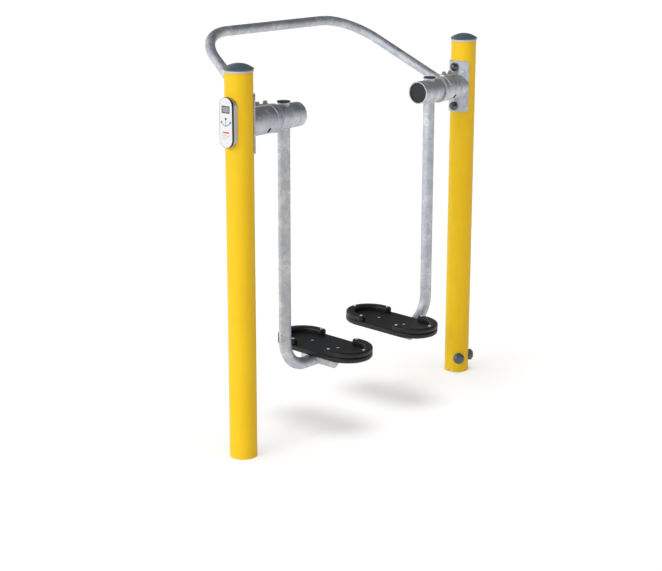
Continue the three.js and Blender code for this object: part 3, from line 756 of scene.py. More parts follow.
# %% [markdown]
# On the right plate, two domed caps hide the bolts, and their lower edge follows the plate's round
# face. Such a cap could be turned and then cut with the plate's shape. Here the rings near its foot are
# laid onto the round face instead, which leaves clean faces and an edge that fits by itself.

# %% Bolt caps
BOLT_CAP_FOOT = 15.8 * MM
BOLT_CAP_FOOT_RISE = 5.8 * MM
BOLT_CAP_WALL = 4 * MM
BOLT_CAP_FLARE = 0.4 * MM
BOLT_CAP_STEPS = 14
BOLT_CAP_TIP = 0.03


def round_face(radius, aside):
    """How far a round face of the radius stands out, this far aside from its middle line."""
    return math.sqrt(radius ** 2 - aside ** 2)


def seated_cap(profile, seat_radius, sides=56):
    """A cap turned about the way out of a round face of the seat's radius, which its foot follows."""
    rings = []
    for radius, rise in profile:
        ring = circle(radius, 0, sides)
        for point in ring:
            surface = round_face(seat_radius, point.x)
            point.z = max(surface, seat_radius + rise) if rise > 0 else surface + rise
        rings.append(ring)
    return skin(rings)


def bolt_cap_profile(radius, height):
    """A flared foot with a quarter ellipse above it."""
    profile = [(BOLT_CAP_FOOT - BOLT_CAP_WALL, 0), (BOLT_CAP_FOOT, 0),
               (BOLT_CAP_FOOT + BOLT_CAP_FLARE, BOLT_CAP_FOOT_RISE / 2)]
    for step in range(BOLT_CAP_STEPS):
        angle = math.pi / 2 * step / BOLT_CAP_STEPS
        rise = BOLT_CAP_FOOT_RISE + (height - BOLT_CAP_FOOT_RISE) * math.sin(angle)
        profile.append((radius * math.cos(angle), rise))
    return profile + [(radius * BOLT_CAP_TIP, height)]


right = SIDES[1]
plate_outer = right.span("saddle_plate")[1]
for place in ("upper", "lower"):
    low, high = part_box(f"right_{place}_bolt_cap")
    profile = bolt_cap_profile((high.z - low.z) / 2, right.span(f"{place}_bolt_cap")[1] - plate_outer)
    shape = along_radius(seated_cap(profile, plate_outer + HAIRLINE), 0, (high.z + low.z) / 2)
    add_piece(f"right_{place}_domed_cover", shape, right.at_post, "frame",
              cover_plastic, [f"right_{place}_bolt_cap"])
print("2 bolt caps")

# %% [markdown]
# The housing is a short thick tube, cut at one end to the saddle plate's round face and welded to
# it. A flat pad runs along its top, and a slot low in its side drains it. The slot is a real hole
# that is cut through the wall, because a dark patch would look painted on. A thin black lining inside
# the slot paints the shade of its wall.

# %% Housings with pads and drain slots
HOUSING_WALL = 5 * MM
SEAM = 2 * MM
SLOT_LENGTH = 22 * MM
SLOT_WIDTH = 11.5 * MM
SLOT_SET_IN = 40 * MM
SLOT_ANGLE = math.radians(128.5)
SLOT_CUT_IN = 8 * MM
SLOT_CUT_OUT = 5 * MM
LINING_WIDTH = 1 * MM
LINING_RISE = 0.3 * MM
PAD_WIDTH = 20 * MM
PAD_RISE = 6 * MM
PAD_OVERHANG = 12 * MM
PAD_ROUND = 0.8 * MM


def pill(width, length, height, inset=0.0, steps=16):
    """A ring with half-round ends, long along Y, drawn at a height and drawn in by an inset."""
    radius = width / 2 - inset
    straight = length / 2 - width / 2
    points = []
    for end in (1, -1):
        for step in range(steps + 1):
            angle = math.pi * step / steps + (0 if end > 0 else math.pi)
            points.append(Vector((radius * math.cos(angle),
                                  end * straight + radius * math.sin(angle), height)))
    return points


def housing_shape(radius, end, seat_radius):
    """Outer wall from the saddle's face to the chamfered end, and back inside."""
    inner = radius - HOUSING_WALL
    corners = [(radius, None), (radius, end - SEAM), (radius - SEAM, end), (inner, end), (inner, None)]
    rings = []
    for reach, at in corners:
        ring = circle(reach, 0, 96)
        for point in ring:
            point.z = round_face(seat_radius, point.x) if at is None else at
        rings.append(ring)
    return along_pivot(skin(rings, closed=True))


def shade_lining_shape(radius):
    """A thin black lining of the slot, flush with the housing's round face, that paints the slot's shade."""
    corners = [(0, -HOUSING_WALL), (0, 0), (LINING_WIDTH * 0.3, LINING_RISE), (LINING_WIDTH, 0), (LINING_WIDTH, -HOUSING_WALL)]
    rings = []
    for inset, rise in corners:
        ring = pill(SLOT_WIDTH, SLOT_LENGTH, 0, inset)
        for point in ring:
            point.z = round_face(radius + rise, point.y)
        rings.append(ring)
    return skin(rings, closed=True)


def at_slot(shape, along):
    """Turns a slot's shape, drawn on top of the housing, to its place low in the housing's side."""
    swing = Matrix.Rotation(SLOT_ANGLE, 3, "X")
    return placed(shape, lambda point: swing @ (point + Vector((along, 0, 0))))


def pad_shape(start, end, radius):
    """A flat pad on the housing's top, from inside its wall up, with rounded upper edges."""
    top = radius + PAD_RISE
    rings = []
    for inset, height in ((0, radius - HOUSING_WALL / 2), (0, top - PAD_ROUND),
                          (PAD_ROUND * 0.3, top - PAD_ROUND * 0.3), (PAD_ROUND, top)):
        half = PAD_WIDTH / 2 - inset
        rings.append([Vector((start, half, height)), Vector((end - inset, half, height)),
                      Vector((end - inset, -half, height)), Vector((start, -half, height))])
    return skin(rings)


for side in SIDES:
    plate_outer = side.span("saddle_plate")[1]
    housing_radius = side.radius("housing")
    housing_end = side.span("housing")[1]
    slot_along = housing_end - SLOT_SET_IN
    slot = skin([pill(SLOT_WIDTH, SLOT_LENGTH, height)
                 for height in (housing_radius - SLOT_CUT_IN, housing_radius + SLOT_CUT_OUT)])
    add_piece(f"{side.name}_housing_tube", housing_shape(housing_radius, housing_end, plate_outer),
              side.at_pivot, "frame", galvanised, [f"{side.name}_housing"],
              [at_slot(slot, slot_along)])
    # The black lining is painted shade on the slot's inner wall.
    add_piece(f"{side.name}_slot_edging", at_slot(shade_lining_shape(housing_radius), slot_along), side.at_pivot,
              "frame", black_plastic)
    low, high = side.span("inner_lock_screw")
    pad = pad_shape(plate_outer, (low + high) / 2 + PAD_OVERHANG, housing_radius)
    add_piece(f"{side.name}_lock_pad", pad, side.at_pivot, "frame", galvanised)
print(f"housings of radius {housing_radius:.4f} m")

# %% [markdown]
# Against the housing's inner end sits the collar of the bearing cartridge, with a wider flange at its
# far end. Both pieces are chamfered where they meet, and a pale ring in the groove paints the seam's
# bright highlight line. The cartridge's sleeve runs on inside the housing, behind the drain slot, in a
# dark tone that paints the shade inside the slot. All of these are turned, so each profile is a list of
# the corners that a cut through the piece would show.

# %% Collars, painted seam highlights and sleeves
SEAM_LINE_RADIUS = 1.5 * MM
SEAM_LINE_STEPS = 12
FLANGE_WIDTH = 7 * MM
FLANGE_CHAMFER = 2.5 * MM
COLLAR_BORE = 24 * MM
COLLAR_EDGE = 0.4 * MM
LIP = 4 * MM
SLEEVE_WALL = 5 * MM
SLEEVE_EDGE = 0.5 * MM
SLEEVE_PLAY = 0.2 * MM


def add_turned(side, name, profile, body, finish, stands_for=(), closed=True, sides=96):
    """A piece that is turned about the pivot's axis."""
    nodes = [f"{side.name}_{node}" for node in stands_for]
    add_piece(f"{side.name}_{name}", along_pivot(turned(profile, closed, sides)), side.at_pivot, body,
              finish, nodes)


for side in SIDES:
    radius = side.radius("housing")
    flange_radius = side.radius("bearing_cartridge")
    sleeve_start, end = side.span("bearing_cartridge")
    housing_end = side.span("housing")[1]
    start = housing_end + HAIRLINE
    flange_start = end - FLANGE_WIDTH
    lip_start = end - LIP
    inside = radius - HOUSING_WALL
    collar = [(COLLAR_BORE, end), (flange_radius - FLANGE_CHAMFER, end),
              (flange_radius, end - FLANGE_CHAMFER), (flange_radius, flange_start),
              (radius, flange_start), (radius, start + SEAM),
              (radius - SEAM, start), (inside, start), (inside, lip_start), (COLLAR_BORE, lip_start)]
    add_turned(side, "cartridge_collar", softened(collar, COLLAR_EDGE, closed=True), "frame",
               galvanised, ["bearing_cartridge"])

    # A pale ring in the seam's groove paints the seam's bright highlight line.
    seam_middle = Vector((radius - SEAM / 2, (housing_end + start) / 2))
    angles = [math.tau * step / SEAM_LINE_STEPS for step in range(SEAM_LINE_STEPS)]
    highlight_ring = [seam_middle + Vector((math.cos(a), math.sin(a))) * SEAM_LINE_RADIUS for a in angles]
    add_turned(side, "seam_seal", highlight_ring, "frame", grey_trim)

    # The sleeve's dark finish paints the shade seen through the drain slot.
    outer = inside - HAIRLINE
    sleeve_end = lip_start - SLEEVE_PLAY
    sleeve = [(outer - SLEEVE_WALL, sleeve_start), (outer, sleeve_start), (outer, sleeve_end),
              (outer - SLEEVE_WALL, sleeve_end)]
    add_turned(side, "cartridge_sleeve", softened(sleeve, SLEEVE_EDGE, closed=True), "frame",
               painted_shade_steel, sides=64)
print(f"collar and sleeve {end - sleeve_start:.4f} m long")

# %% [markdown]
# The hub turns beyond the collar with a running gap. It is a plain tube with rounded ends, closed by
# a black plug that sits a little inside its end. The plug is slightly domed, so it catches a broad
# soft light that a flat disc would not.

# %% Hubs and plugs
HUB_WALL = 4.5 * MM
HUB_EDGE = 1.4 * MM
PLUG_RECESS = 4 * MM
PLUG_DEPTH = 20 * MM
PLUG_CROWN = 2.4 * MM
PLUG_PLAY = 0.1 * MM
PLUG_WALL = 3 * MM
PLUG_RIM = 2 * MM

for side in SIDES:
    start, end = side.span("hub")
    radius = side.radius("hub")
    inner = radius - HUB_WALL
    hub = softened([(inner, start), (radius, start), (radius, end), (inner, end)], HUB_EDGE, closed=True)
    add_turned(side, "hub_tube", hub, side.leg, galvanised, ["hub"])
    plug_radius = inner - PLUG_PLAY
    face = end - PLUG_RECESS
    crown_start = face - PLUG_CROWN
    plug = softened([(plug_radius - PLUG_WALL, face - PLUG_DEPTH), (plug_radius, face - PLUG_DEPTH),
                     (plug_radius, crown_start), (plug_radius * 0.8, crown_start)], HUB_EDGE)
    plug = plug[:-1] + dome(plug_radius - PLUG_RIM, crown_start, PLUG_CROWN)
    add_turned(side, "recessed_plug", plug, side.leg, black_plastic, ["end_plug"],
               closed=False)
print(f"hub {end - start:.4f} m long, radius {radius:.4f} m")

# %% [markdown]
# The leg is one tube, which passes down through the hub and bends inward under the foot. A black cap
# closes its upper end, just above the hub. A curve object with a bevel could draw the tube, but a ring
# swept along the route gives full control of its faces, and the handlebar will need that.

# %% Leg tubes and stub caps
ARM_RADIUS = 23 * MM
ARM_BEND = 108 * MM
ARM_DROP = 954.5 * MM
ARM_SET_IN = 46.3 * MM
STUB_RISE = 51.5 * MM
STUB_PLUG_INSET = 5 * MM
STUB_PLUG_DEPTH = 17 * MM
STUB_EDGE = 1.6 * MM

for side in SIDES:
    arm_x = side.span("hub")[0] + ARM_SET_IN
    route = bent_route([Vector((arm_x, 0, STUB_RISE)), Vector((arm_x, 0, -ARM_DROP)),
                        Vector((side.span("arm")[1], 0, -ARM_DROP))], ARM_BEND)
    add_piece(f"{side.name}_leg_tube", skin(swept(route, ARM_RADIUS)), side.at_pivot, side.leg,
              galvanised, [f"{side.name}_arm"])
    low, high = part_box(f"{side.name}_stub_cap")
    seat = STUB_RISE + HAIRLINE
    top = high.z - PIVOT_HEIGHT
    cap_radius = (high.y - low.y) / 2
    plug_radius = ARM_RADIUS - STUB_PLUG_INSET
    profile = softened([(plug_radius, seat - STUB_PLUG_DEPTH), (plug_radius, seat), (cap_radius, seat),
                        (cap_radius, top), (cap_radius * 0.4, top)], STUB_EDGE)
    add_piece(f"{side.name}_stub_disc", moved(turned(profile, sides=64), (arm_x, 0, 0)), side.at_pivot,
              side.leg, black_plastic, [f"{side.name}_stub_cap"])
print(f"leg tubes swept over {len(route)} rings")

# %% [markdown]
# The handlebar is one tube with two bends, and both its ends stand on the round housings. Where such
# tubes meet, a fitter cuts the thinner one to the shape of the other. Here each line of the bar's wall
# is run on until it meets the housing, and the ends are kept for the weld beads.

# %% Handlebar
BAR_BEND = 207 * MM
BAR_RISE = 264.5 * MM
BAR_REACH = 431 * MM
BAR_ROOT_X = 574.3 * MM
BAR_CORNER_X = 435 * MM
BAR_SETBACK = 13 * MM
BAR_SINK = 0.5 * MM
BAR_STEPS = 28
WELL_INSIDE = 0.9


def leaves_cylinder(point, direction, radius):
    """Where a line that follows the direction leaves the cylinder of the radius about the X axis."""
    flat = Vector((direction.y, direction.z))
    start = Vector((point.y, point.z))
    nearest = -start.dot(flat) / flat.length_squared
    off = (start + flat * nearest).length
    return point + direction * (nearest + round_face(radius, off) / flat.length)


housing_radius = SIDES[0].radius("housing")
bar_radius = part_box("handlebar")[1].y - BAR_REACH
corner = Vector((BAR_CORNER_X, BAR_REACH, BAR_RISE))
root = Vector((BAR_ROOT_X, -BAR_SETBACK, 0))
lean = (corner - root).normalized()
start = leaves_cylinder(root, lean, WELL_INSIDE * housing_radius)
flip = Vector((-1, 1, 1))
route = bent_route([start, corner, corner * flip, start * flip], BAR_BEND, BAR_STEPS)
rings = swept(route, bar_radius)
bar_ends = []
for ring, away in ((rings[0], lean), (rings[-1], lean * flip)):
    bar_ends.append([leaves_cylinder(point, away, housing_radius) for point in ring])
    ring[:] = [leaves_cylinder(point, away, housing_radius - BAR_SINK) for point in ring]


def at_bar(point):
    return point + Vector((0, 0, PIVOT_HEIGHT))


add_piece("bent_handlebar", skin(rings), at_bar, "frame", galvanised, ["handlebar"])
print(f"handlebar swept over {len(route)} rings")

# %% [markdown]
# The footplate is a thick oblong with half-round ends and a round bead for an edge, hollow
# underneath. On it lie two raised rims that stop the shoe, each a wide C with round tips. Both are
# stacks of one outline that draws in as it nears the top and bottom faces, as a moulder's split
# tool would leave it.

# %% Footplates and rims
PLATE_WIDTH = 205 * MM
PLATE_LENGTH = 416 * MM
PLATE_DEPTH = 22 * MM
DECK = 14 * MM
BEAD = 8.5 * MM
SKIRT = 12 * MM
POCKET_DROP = 0.5 * MM
POCKET_DRAFT = 1 * MM
RIM_HEIGHT = 19.7 * MM
RIM_WIDTH = 34 * MM
RIM_TAIL = 33.5 * MM
RIM_ROUND = 8 * MM
RIM_FOOT_ROUND = 2 * MM
RIM_TIP_STEPS = 14
SCREW_SPACING = 129 * MM
SCREW_HOLE_RADIUS = 7.4 * MM
SCREW_HOLE_DEPTH = 4.9 * MM
SCREW_HOLE_ABOVE = 5 * MM


def quarter(radius, start, end, steps=7):
    """Offsets of a quarter round, from start to end in quarter turns: (inset, height) pairs."""
    angles = [math.pi / 2 * (start + (end - start) * step / steps) for step in range(steps + 1)]
    return [(radius * (1 - math.cos(a)), radius * math.sin(a)) for a in angles]


def footplate_shape():
    top = [(inset, -BEAD + rise) for inset, rise in quarter(BEAD, 1, 0)]
    bottom = [(inset, -PLATE_DEPTH + BEAD - rise) for inset, rise in quarter(BEAD, 0, 1)]
    pocket = [(SKIRT, -PLATE_DEPTH + POCKET_DROP), (SKIRT + POCKET_DRAFT, -DECK)]
    rings = [pill(PLATE_WIDTH, PLATE_LENGTH, h, inset, 40) for inset, h in top + bottom + pocket]
    return skin(rings)


def rim_outline(inset, height, steps=36):
    """The C of the front rim, drawn in by an inset: outer arc, tip, inner arc, tip."""
    bend = PLATE_LENGTH / 2 - PLATE_WIDTH / 2
    middle = PLATE_WIDTH / 2 - RIM_WIDTH / 2
    half = RIM_WIDTH / 2 - inset
    tip_y = bend - RIM_TAIL + RIM_WIDTH / 2
    points = []

    def arc(x, y, radius, start, end, count):
        for step in range(count + 1):
            angle = start + (end - start) * step / count
            points.append(Vector((x + radius * math.cos(angle), y + radius * math.sin(angle), height)))

    arc(0, bend, middle + half, 0, math.pi, steps)
    arc(-middle, tip_y, half, math.pi, math.tau, RIM_TIP_STEPS)
    arc(0, bend, middle - half, math.pi, 0, steps)
    arc(middle, tip_y, half, -math.pi, 0, RIM_TIP_STEPS)
    return points


def rim_shape(flip):
    foot = HAIRLINE + RIM_FOOT_ROUND
    shoulder = HAIRLINE + RIM_HEIGHT - RIM_ROUND
    lower = [(inset, foot - rise) for inset, rise in quarter(RIM_FOOT_ROUND, 1, 0, 3)]
    upper = [(inset, shoulder + rise) for inset, rise in quarter(RIM_ROUND, 0, 1)]
    rings = [rim_outline(inset, height) for inset, height in lower + upper]
    return placed(skin(rings), lambda point: Vector((point.x, flip * point.y, point.z)))


for side in SIDES:
    drill = turned([(SCREW_HOLE_RADIUS, -SCREW_HOLE_DEPTH), (SCREW_HOLE_RADIUS, SCREW_HOLE_ABOVE)])
    deck_holes = [moved(drill, (0, y, 0)) for y in (-SCREW_SPACING / 2, SCREW_SPACING / 2)]
    add_piece(f"{side.name}_moulded_footplate", footplate_shape(), side.at_foot, side.leg,
              foot_plastic, [f"{side.name}_footplate"], deck_holes)
    for place, flip in (("front", 1), ("rear", -1)):
        add_piece(f"{side.name}_{place}_toe_rim", rim_shape(flip), side.at_foot, side.leg,
                  foot_plastic, [f"{side.name}_{place}_rim"])
print(f"footplates {PLATE_LENGTH:.3f} by {PLATE_WIDTH:.3f} m")

# %% [markdown]
# Screws are small, but they catch the light and give the scale. A head is turned like the rest, and
# its hexagon comes from rings that are cut to flats: a socket is a small hexagon sunk into the head,
# and a chamfered nut, in the next cell, is a cone met by a hexagon.

# %% Screws in the footplates
SHANK_START = 1 * MM
SOCKET_CHAMFER = 0.2 * MM


def hexed(profile, sides=72):
    """A skin from (radius, height, size across flats or None) points about Z."""
    return skin([circle(radius, height, sides, flats) for radius, height, flats in profile])


def socket_head(radius, rise, socket):
    """A low domed head with a hexagon socket, from its seat at height 0."""
    floor = rise * 0.3
    return hexed([
        (radius * 0.5, -SHANK_START, None), (radius, 0, None), (radius, rise * 0.3, None),
        (radius * 0.94, rise * 0.62, None), (radius * 0.8, rise * 0.88, None),
        (radius * 0.62, rise, None), (socket * 0.68, rise, None),
        (socket * 0.6, rise - SOCKET_CHAMFER, socket), (socket * 0.6, floor, socket),
    ])


RIM_SCREW_RADIUS = 6 * MM
RIM_SCREW_RISE = 2.4 * MM
RIM_SCREW_SOCKET = 4 * MM
DECK_SCREW_RADIUS = 6.8 * MM
DECK_SCREW_RISE = 4.2 * MM
DECK_SCREW_SOCKET = 5 * MM
DECK_SCREW_SINK = 4.6 * MM
rim_middle = PLATE_WIDTH / 2 - RIM_WIDTH / 2
rim_bend = PLATE_LENGTH / 2 - PLATE_WIDTH / 2
rim_tip = rim_bend - RIM_TAIL + RIM_WIDTH / 2
rim_screws = [(-rim_middle, rim_tip), (rim_middle, rim_tip), (0, rim_bend + rim_middle)]
rim_head = socket_head(RIM_SCREW_RADIUS, RIM_SCREW_RISE, RIM_SCREW_SOCKET)
deck_head = socket_head(DECK_SCREW_RADIUS, DECK_SCREW_RISE, DECK_SCREW_SOCKET)
for side in SIDES:
    for place, flip in (("front", 1), ("rear", -1)):
        for number, (x, y) in enumerate(rim_screws, 1):
            head = moved(rim_head, (x, flip * y, HAIRLINE + RIM_HEIGHT))
            add_piece(f"{side.name}_{place}_rim_screw_{number}", head, side.at_foot, side.leg,
                      machined)
        head = moved(deck_head, (0, flip * SCREW_SPACING / 2, -DECK_SCREW_SINK))
        add_piece(f"{side.name}_{place}_deck_screw", head, side.at_foot, side.leg,
                  machined, [f"{side.name}_{place}_foot_screw"])
print("12 rim screws and 4 deck screws")

# %% [markdown]
# Two screws lock each bearing cartridge through the pad on the housing's top. Each has a hexagon
# head and a wider locknut under it, which sits on the pad. Head and nut could be one piece, but apart
# they keep the dark line between them. On the outer side of each leg tube, just above the bend, sit two
# small domed rivet heads.

# %% Lock screws and rivets
LOCK_NUT_RADIUS = 9.5 * MM
LOCK_NUT_HEIGHT = 5 * MM
LOCK_HEAD_RADIUS = 7.8 * MM
LOCK_PLAY = 0.2 * MM
RIVET_HEIGHTS = (409 * MM, 390 * MM)
RIVET_RADIUS = 5 * MM
RIVET_SINK = 1.5 * MM
RIVET_FOOT = 0.4 * MM
RIVET_RISE = 3 * MM


def hexagon(widest, height):
    """A nut or head with its corners at the radius given by widest, and both faces chamfered."""
    flats = widest * math.sqrt(3)
    chamfer = (widest - flats / 2) * 0.6
    return hexed([(flats * 0.3, 0, flats), (flats / 2, 0, flats), (widest, chamfer, flats),
                  (widest, height - chamfer, flats), (flats / 2, height, flats),
                  (flats * 0.3, height, flats)])


nut_shape = hexagon(LOCK_NUT_RADIUS, LOCK_NUT_HEIGHT)
rivet_profile = [(RIVET_RADIUS, -RIVET_SINK), (RIVET_RADIUS, RIVET_FOOT)]
rivet_profile += dome(RIVET_RADIUS, RIVET_FOOT, RIVET_RISE, 7)[1:]
rivet_shape = turned(rivet_profile, sides=32)
for side in SIDES:
    for place in ("inner", "outer"):
        low, high = side.span(f"{place}_lock_screw")
        at = (low + high) / 2
        seat = side.radius("housing") + PAD_RISE
        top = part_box(f"{side.name}_{place}_lock_screw")[1].z - PIVOT_HEIGHT
        nut = moved(nut_shape, (at, 0, seat + LOCK_PLAY))
        add_piece(f"{side.name}_{place}_lock_nut", nut, side.at_pivot, "frame", plated)
        head_seat = seat + LOCK_NUT_HEIGHT + LOCK_PLAY
        head = moved(hexagon(LOCK_HEAD_RADIUS, top - head_seat), (at, 0, head_seat))
        add_piece(f"{side.name}_{place}_lock_head", head, side.at_pivot, "frame",
                  plated, [f"{side.name}_{place}_lock_screw"])
    seat = side.span("hub")[0] + ARM_SET_IN - ARM_RADIUS
    for number, height in enumerate(RIVET_HEIGHTS, 1):
        rivet = placed(rivet_shape, lambda point: Vector((seat - point.z, point.x, point.y + height)))
        add_piece(f"{side.name}_leg_rivet_{number}", rivet, side.at_post, side.leg,
                  machined)
print("8 lock screws and nuts, 4 rivets")

# %% [markdown]
# Where galvanised pieces meet, a weld holds them. A weld bead is a thin round ridge with fine
# ripples, one for each dip of the filler. Each bead follows the line where two round pieces meet,
# which is worked out from their radii. A smooth ring would hide the seam too, but the ripples tell
# that it is welded.

# %% Weld beads
RIPPLE = 2.6 * MM
POINTS_PER_RIPPLE = 4
SADDLE_BEAD = 1.9 * MM
HUB_BEAD = 2.2 * MM
BAR_BEAD = 2.3 * MM
LONG_SEAM = 180
SHORT_SEAM = 120


def resampled(loop, spacing):
    """Evenly spaced points on a closed line."""
    lengths = [(b - a).length for a, b in zip(loop, loop[1:] + loop[:1])]
    total = sum(lengths)
    count = round(total / spacing)
    points = []
    index = 0
    passed = 0.0
    for step in range(count):
        goal = total * step / count
        while passed + lengths[index] < goal:
            passed += lengths[index]
            index += 1
        share = (goal - passed) / lengths[index]
        points.append(loop[index].lerp(loop[(index + 1) % len(loop)], share))
    return points


def bead(loop, radius, sides=10):
    """A rippled ridge along a closed line."""
    line = resampled(loop, RIPPLE / POINTS_PER_RIPPLE)
    middle = sum(line, Vector()) / len(line)
    rings = []
    for index, point in enumerate(line):
        heading = (line[(index + 1) % len(line)] - line[index - 1]).normalized()
        out = point - middle
        out = (out - heading * out.dot(heading)).normalized()
        up = heading.cross(out)
        swell = radius * (0.9 + 0.1 * abs(math.sin(math.pi * index / POINTS_PER_RIPPLE)))
        rings.append([point + (out * math.cos(a) + up * math.sin(a)) * swell
                      for a in (math.tau * k / sides for k in range(sides))])
    return skin(rings, closed=True)


for side in SIDES:
    plate_outer = side.span("saddle_plate")[1]
    reach = side.radius("housing")
    plate_edge = plate_outer * math.sin(PLATE_HALF_ANGLE) - SADDLE_BEAD
    loop = []
    for step in range(LONG_SEAM):
        angle = math.tau * step / LONG_SEAM
        y = max(-plate_edge, min(plate_edge, reach * math.cos(angle)))
        loop.append(Vector((round_face(plate_outer, y), y, reach * math.sin(angle))))
    add_piece(f"{side.name}_saddle_weld", bead(loop, SADDLE_BEAD), side.at_pivot, "frame",
              galvanised_weld)
    arm_x = side.span("hub")[0] + ARM_SET_IN
    hub_radius = side.radius("hub")
    for place, up in (("top", 1), ("bottom", -1)):
        loop = []
        for step in range(SHORT_SEAM):
            angle = math.tau * step / SHORT_SEAM
            y = ARM_RADIUS * math.sin(angle)
            height = up * round_face(hub_radius, y)
            loop.append(Vector((arm_x + ARM_RADIUS * math.cos(angle), y, height)))
        add_piece(f"{side.name}_{place}_hub_weld", bead(loop, HUB_BEAD), side.at_pivot, side.leg,
                  galvanised_weld)
for name, loop in zip(("right", "left"), bar_ends):
    add_piece(f"{name}_handlebar_weld", bead(loop, BAR_BEAD), at_bar, "frame",
              galvanised_weld)
print("8 weld beads")

# %% [markdown]
# Two bolts lock the right post to the anchor in the ground, under slate blue covers with a chamfer.
# They follow the post's round face, like the caps on the saddle plate, so the same function seats
# them, and only their profile is new.

# %% Anchor covers
COVER_CHAMFER = 8.5 * MM
COVER_HEIGHT = 19.6 * MM
COVER_TOP = 13.5 * MM
COVER_WALL = 4 * MM
COVER_EDGE = 1.6 * MM

low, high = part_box("right_post")
post_radius = (high.y - low.y) / 2
for place, angle in (("outer", -135), ("inner", -45)):
    low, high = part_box(f"right_anchor_cover_{place}")
    cover_radius = (high.z - low.z) / 2
    corners = [(cover_radius - COVER_WALL, 0), (cover_radius, 0),
               (cover_radius, COVER_HEIGHT - COVER_CHAMFER), (COVER_TOP, COVER_HEIGHT),
               (COVER_TOP * 0.4, COVER_HEIGHT)]
    profile = [(radius, max(rise, 0)) for radius, rise in softened(corners, COVER_EDGE)]
    cover = seated_cap(profile, post_radius + HAIRLINE)
    shape = along_radius(cover, math.radians(angle), (low.z + high.z) / 2)
    add_piece(f"right_{place}_anchor_cap", shape, right.at_post, "frame", slate_plastic,
              [f"right_anchor_cover_{place}"])
print("2 anchor covers")

# %% [markdown]
# The sign on the left post is a cast grey body that wraps the post, a black gasket and a thin white
# face. The face carries a plain printed panel of our own: a striped slate block, a pendulum with the
# arc of its swing, and a coral bar over thin lines. It could be a picture, but shapes worked out from
# distances stay sharp at any size and need no image. Lengths on the panel are from its middle.

# %% Print on the sign's face
SIGN_CENTRE = sum(corner.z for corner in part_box("sign_face")) / 2
BLOCK_HEIGHT = 46 * MM
STRIPE_PITCH = 9 * MM
PENDULUM_HEIGHT = 14 * MM
SWING_RADIUS = 24 * MM
SWING_END = 20.5 * MM
SWING_TOP = 2 * MM
LINE_THICKNESS = 0.9 * MM


def printed_face():
    face = Finish("printed_sign_face")
    axes = face.node("ShaderNodeSeparateXYZ", None, {"Vector": face.place}, "X")
    across = axes.other("Y") * -1
    up = axes.other("Z") - SIGN_CENTRE

    def bar(x, y, half_width, half_height):
        """1 inside a rectangle round (x, y), else 0."""
        return (abs(across - x) < half_width) * (abs(up - y) < half_height)

    def distance(x, y):
        squares = (across - x) * (across - x) + (up - y) * (up - y)
        return worked("SQRT", squares)

    def dot(x, y, radius):
        return distance(x, y) < radius

    def ring(x, y, radius, half_width):
        return abs(distance(x, y) - radius) < half_width

    wear = face.cloud(30 * MM, 3.0)
    colour = face.mixed(wear, seen(229, 229, 231), seen(235, 235, 237))
    block = bar(0, BLOCK_HEIGHT, 19 * MM, 13 * MM)
    slanted = worked("FRACT", (across + up) / STRIPE_PITCH) < 0.45
    stripe = slanted * bar(0, BLOCK_HEIGHT, 15 * MM, 9 * MM)
    arc = ring(0, PENDULUM_HEIGHT, SWING_RADIUS, 1.8 * MM) * (up < SWING_TOP)
    rod = bar(0, -2 * MM, 1.3 * MM, 12 * MM)
    ends = worked("MAXIMUM", *(dot(x, SWING_TOP, 4 * MM) for x in (-SWING_END, SWING_END)))
    pivot = dot(0, PENDULUM_HEIGHT, 4.6 * MM)
    coral = bar(0, -34 * MM, 15 * MM, 3 * MM)
    line_1 = bar(0, -45 * MM, 19 * MM, LINE_THICKNESS)
    line_2 = bar(-4 * MM, -51 * MM, 15 * MM, LINE_THICKNESS)
    line_3 = bar(-8 * MM, -57 * MM, 11 * MM, LINE_THICKNESS)
    lines = worked("MAXIMUM", line_1, worked("MAXIMUM", line_2, line_3))
    colour = face.mixed(block, colour, seen(66, 70, 74))
    colour = face.mixed(stripe, colour, seen(206, 208, 210))
    colour = face.mixed(worked("MAXIMUM", arc, rod), colour, seen(120, 152, 186))
    colour = face.mixed(ends, colour, seen(84, 110, 150))
    colour = face.mixed(pivot, colour, seen(56, 58, 64))
    colour = face.mixed(coral, colour, seen(238, 84, 66))
    colour = face.mixed(lines, colour, seen(176, 178, 182))
    relief = face.relief(face.cloud(1.5 * MM), 0.01 * MM)
    return face.done(Base_Color=colour, Roughness=0.34 + 0.1 * wear, Normal=relief)


sign_print = printed_face()
print("made", sign_print.name)

# %% [markdown]
# The sign's layers share one outline with half-round ends, so each is a stack of that one ring, drawn
# in a little where an edge is round. The body's edge runs back to the post's round face and is hollow
# behind, as castings are. A thin dark border lies round the white face.

# %% Sign
SIGN_STEPS = 24
SIGN_WALL = 3 * MM
SIGN_INFILL = 4 * MM
SIGN_OVERLAP = 6 * MM
BODY_MIDDLE = 8 * MM
BODY_ROUND = 1.2 * MM
BODY_SHOULDER = 0.35 * MM
GASKET_EDGE = 1.6 * MM
BORDER_EDGE = 0.3 * MM
BORDER_LIP = 0.5 * MM
BORDER_SINK = 0.2 * MM
FACE_INSET = 1.6 * MM
FACE_BACK_INSET = 2 * MM
FACE_BACK_SINK = 0.6 * MM
FACE_EDGE = 0.3 * MM
sign_low, sign_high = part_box("sign_face")
SIGN_WIDTH = sign_high.y - sign_low.y
SIGN_LENGTH = sign_high.z - sign_low.z


def sign_ring(inset, out):
    """The sign's outline, drawn in by an inset, at a distance from the post's axis."""
    return pill(SIGN_WIDTH, SIGN_LENGTH, out, inset, SIGN_STEPS)


def sign_layer(profile):
    """A layer from (inset, distance from the post's axis) points."""
    return skin([sign_ring(inset, out) for inset, out in profile])


def on_left_post(point):
    return Vector((-POST_X - point.z, point.x, SIGN_CENTRE + point.y))


def outs(node):
    """How far out from the left post's axis a node starts and ends."""
    low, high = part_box(node)
    return -POST_X - high.x, -POST_X - low.x


def add_to_sign(name, shape, finish, stands_for=()):
    add_piece(name, shape, on_left_post, "frame", finish, stands_for)


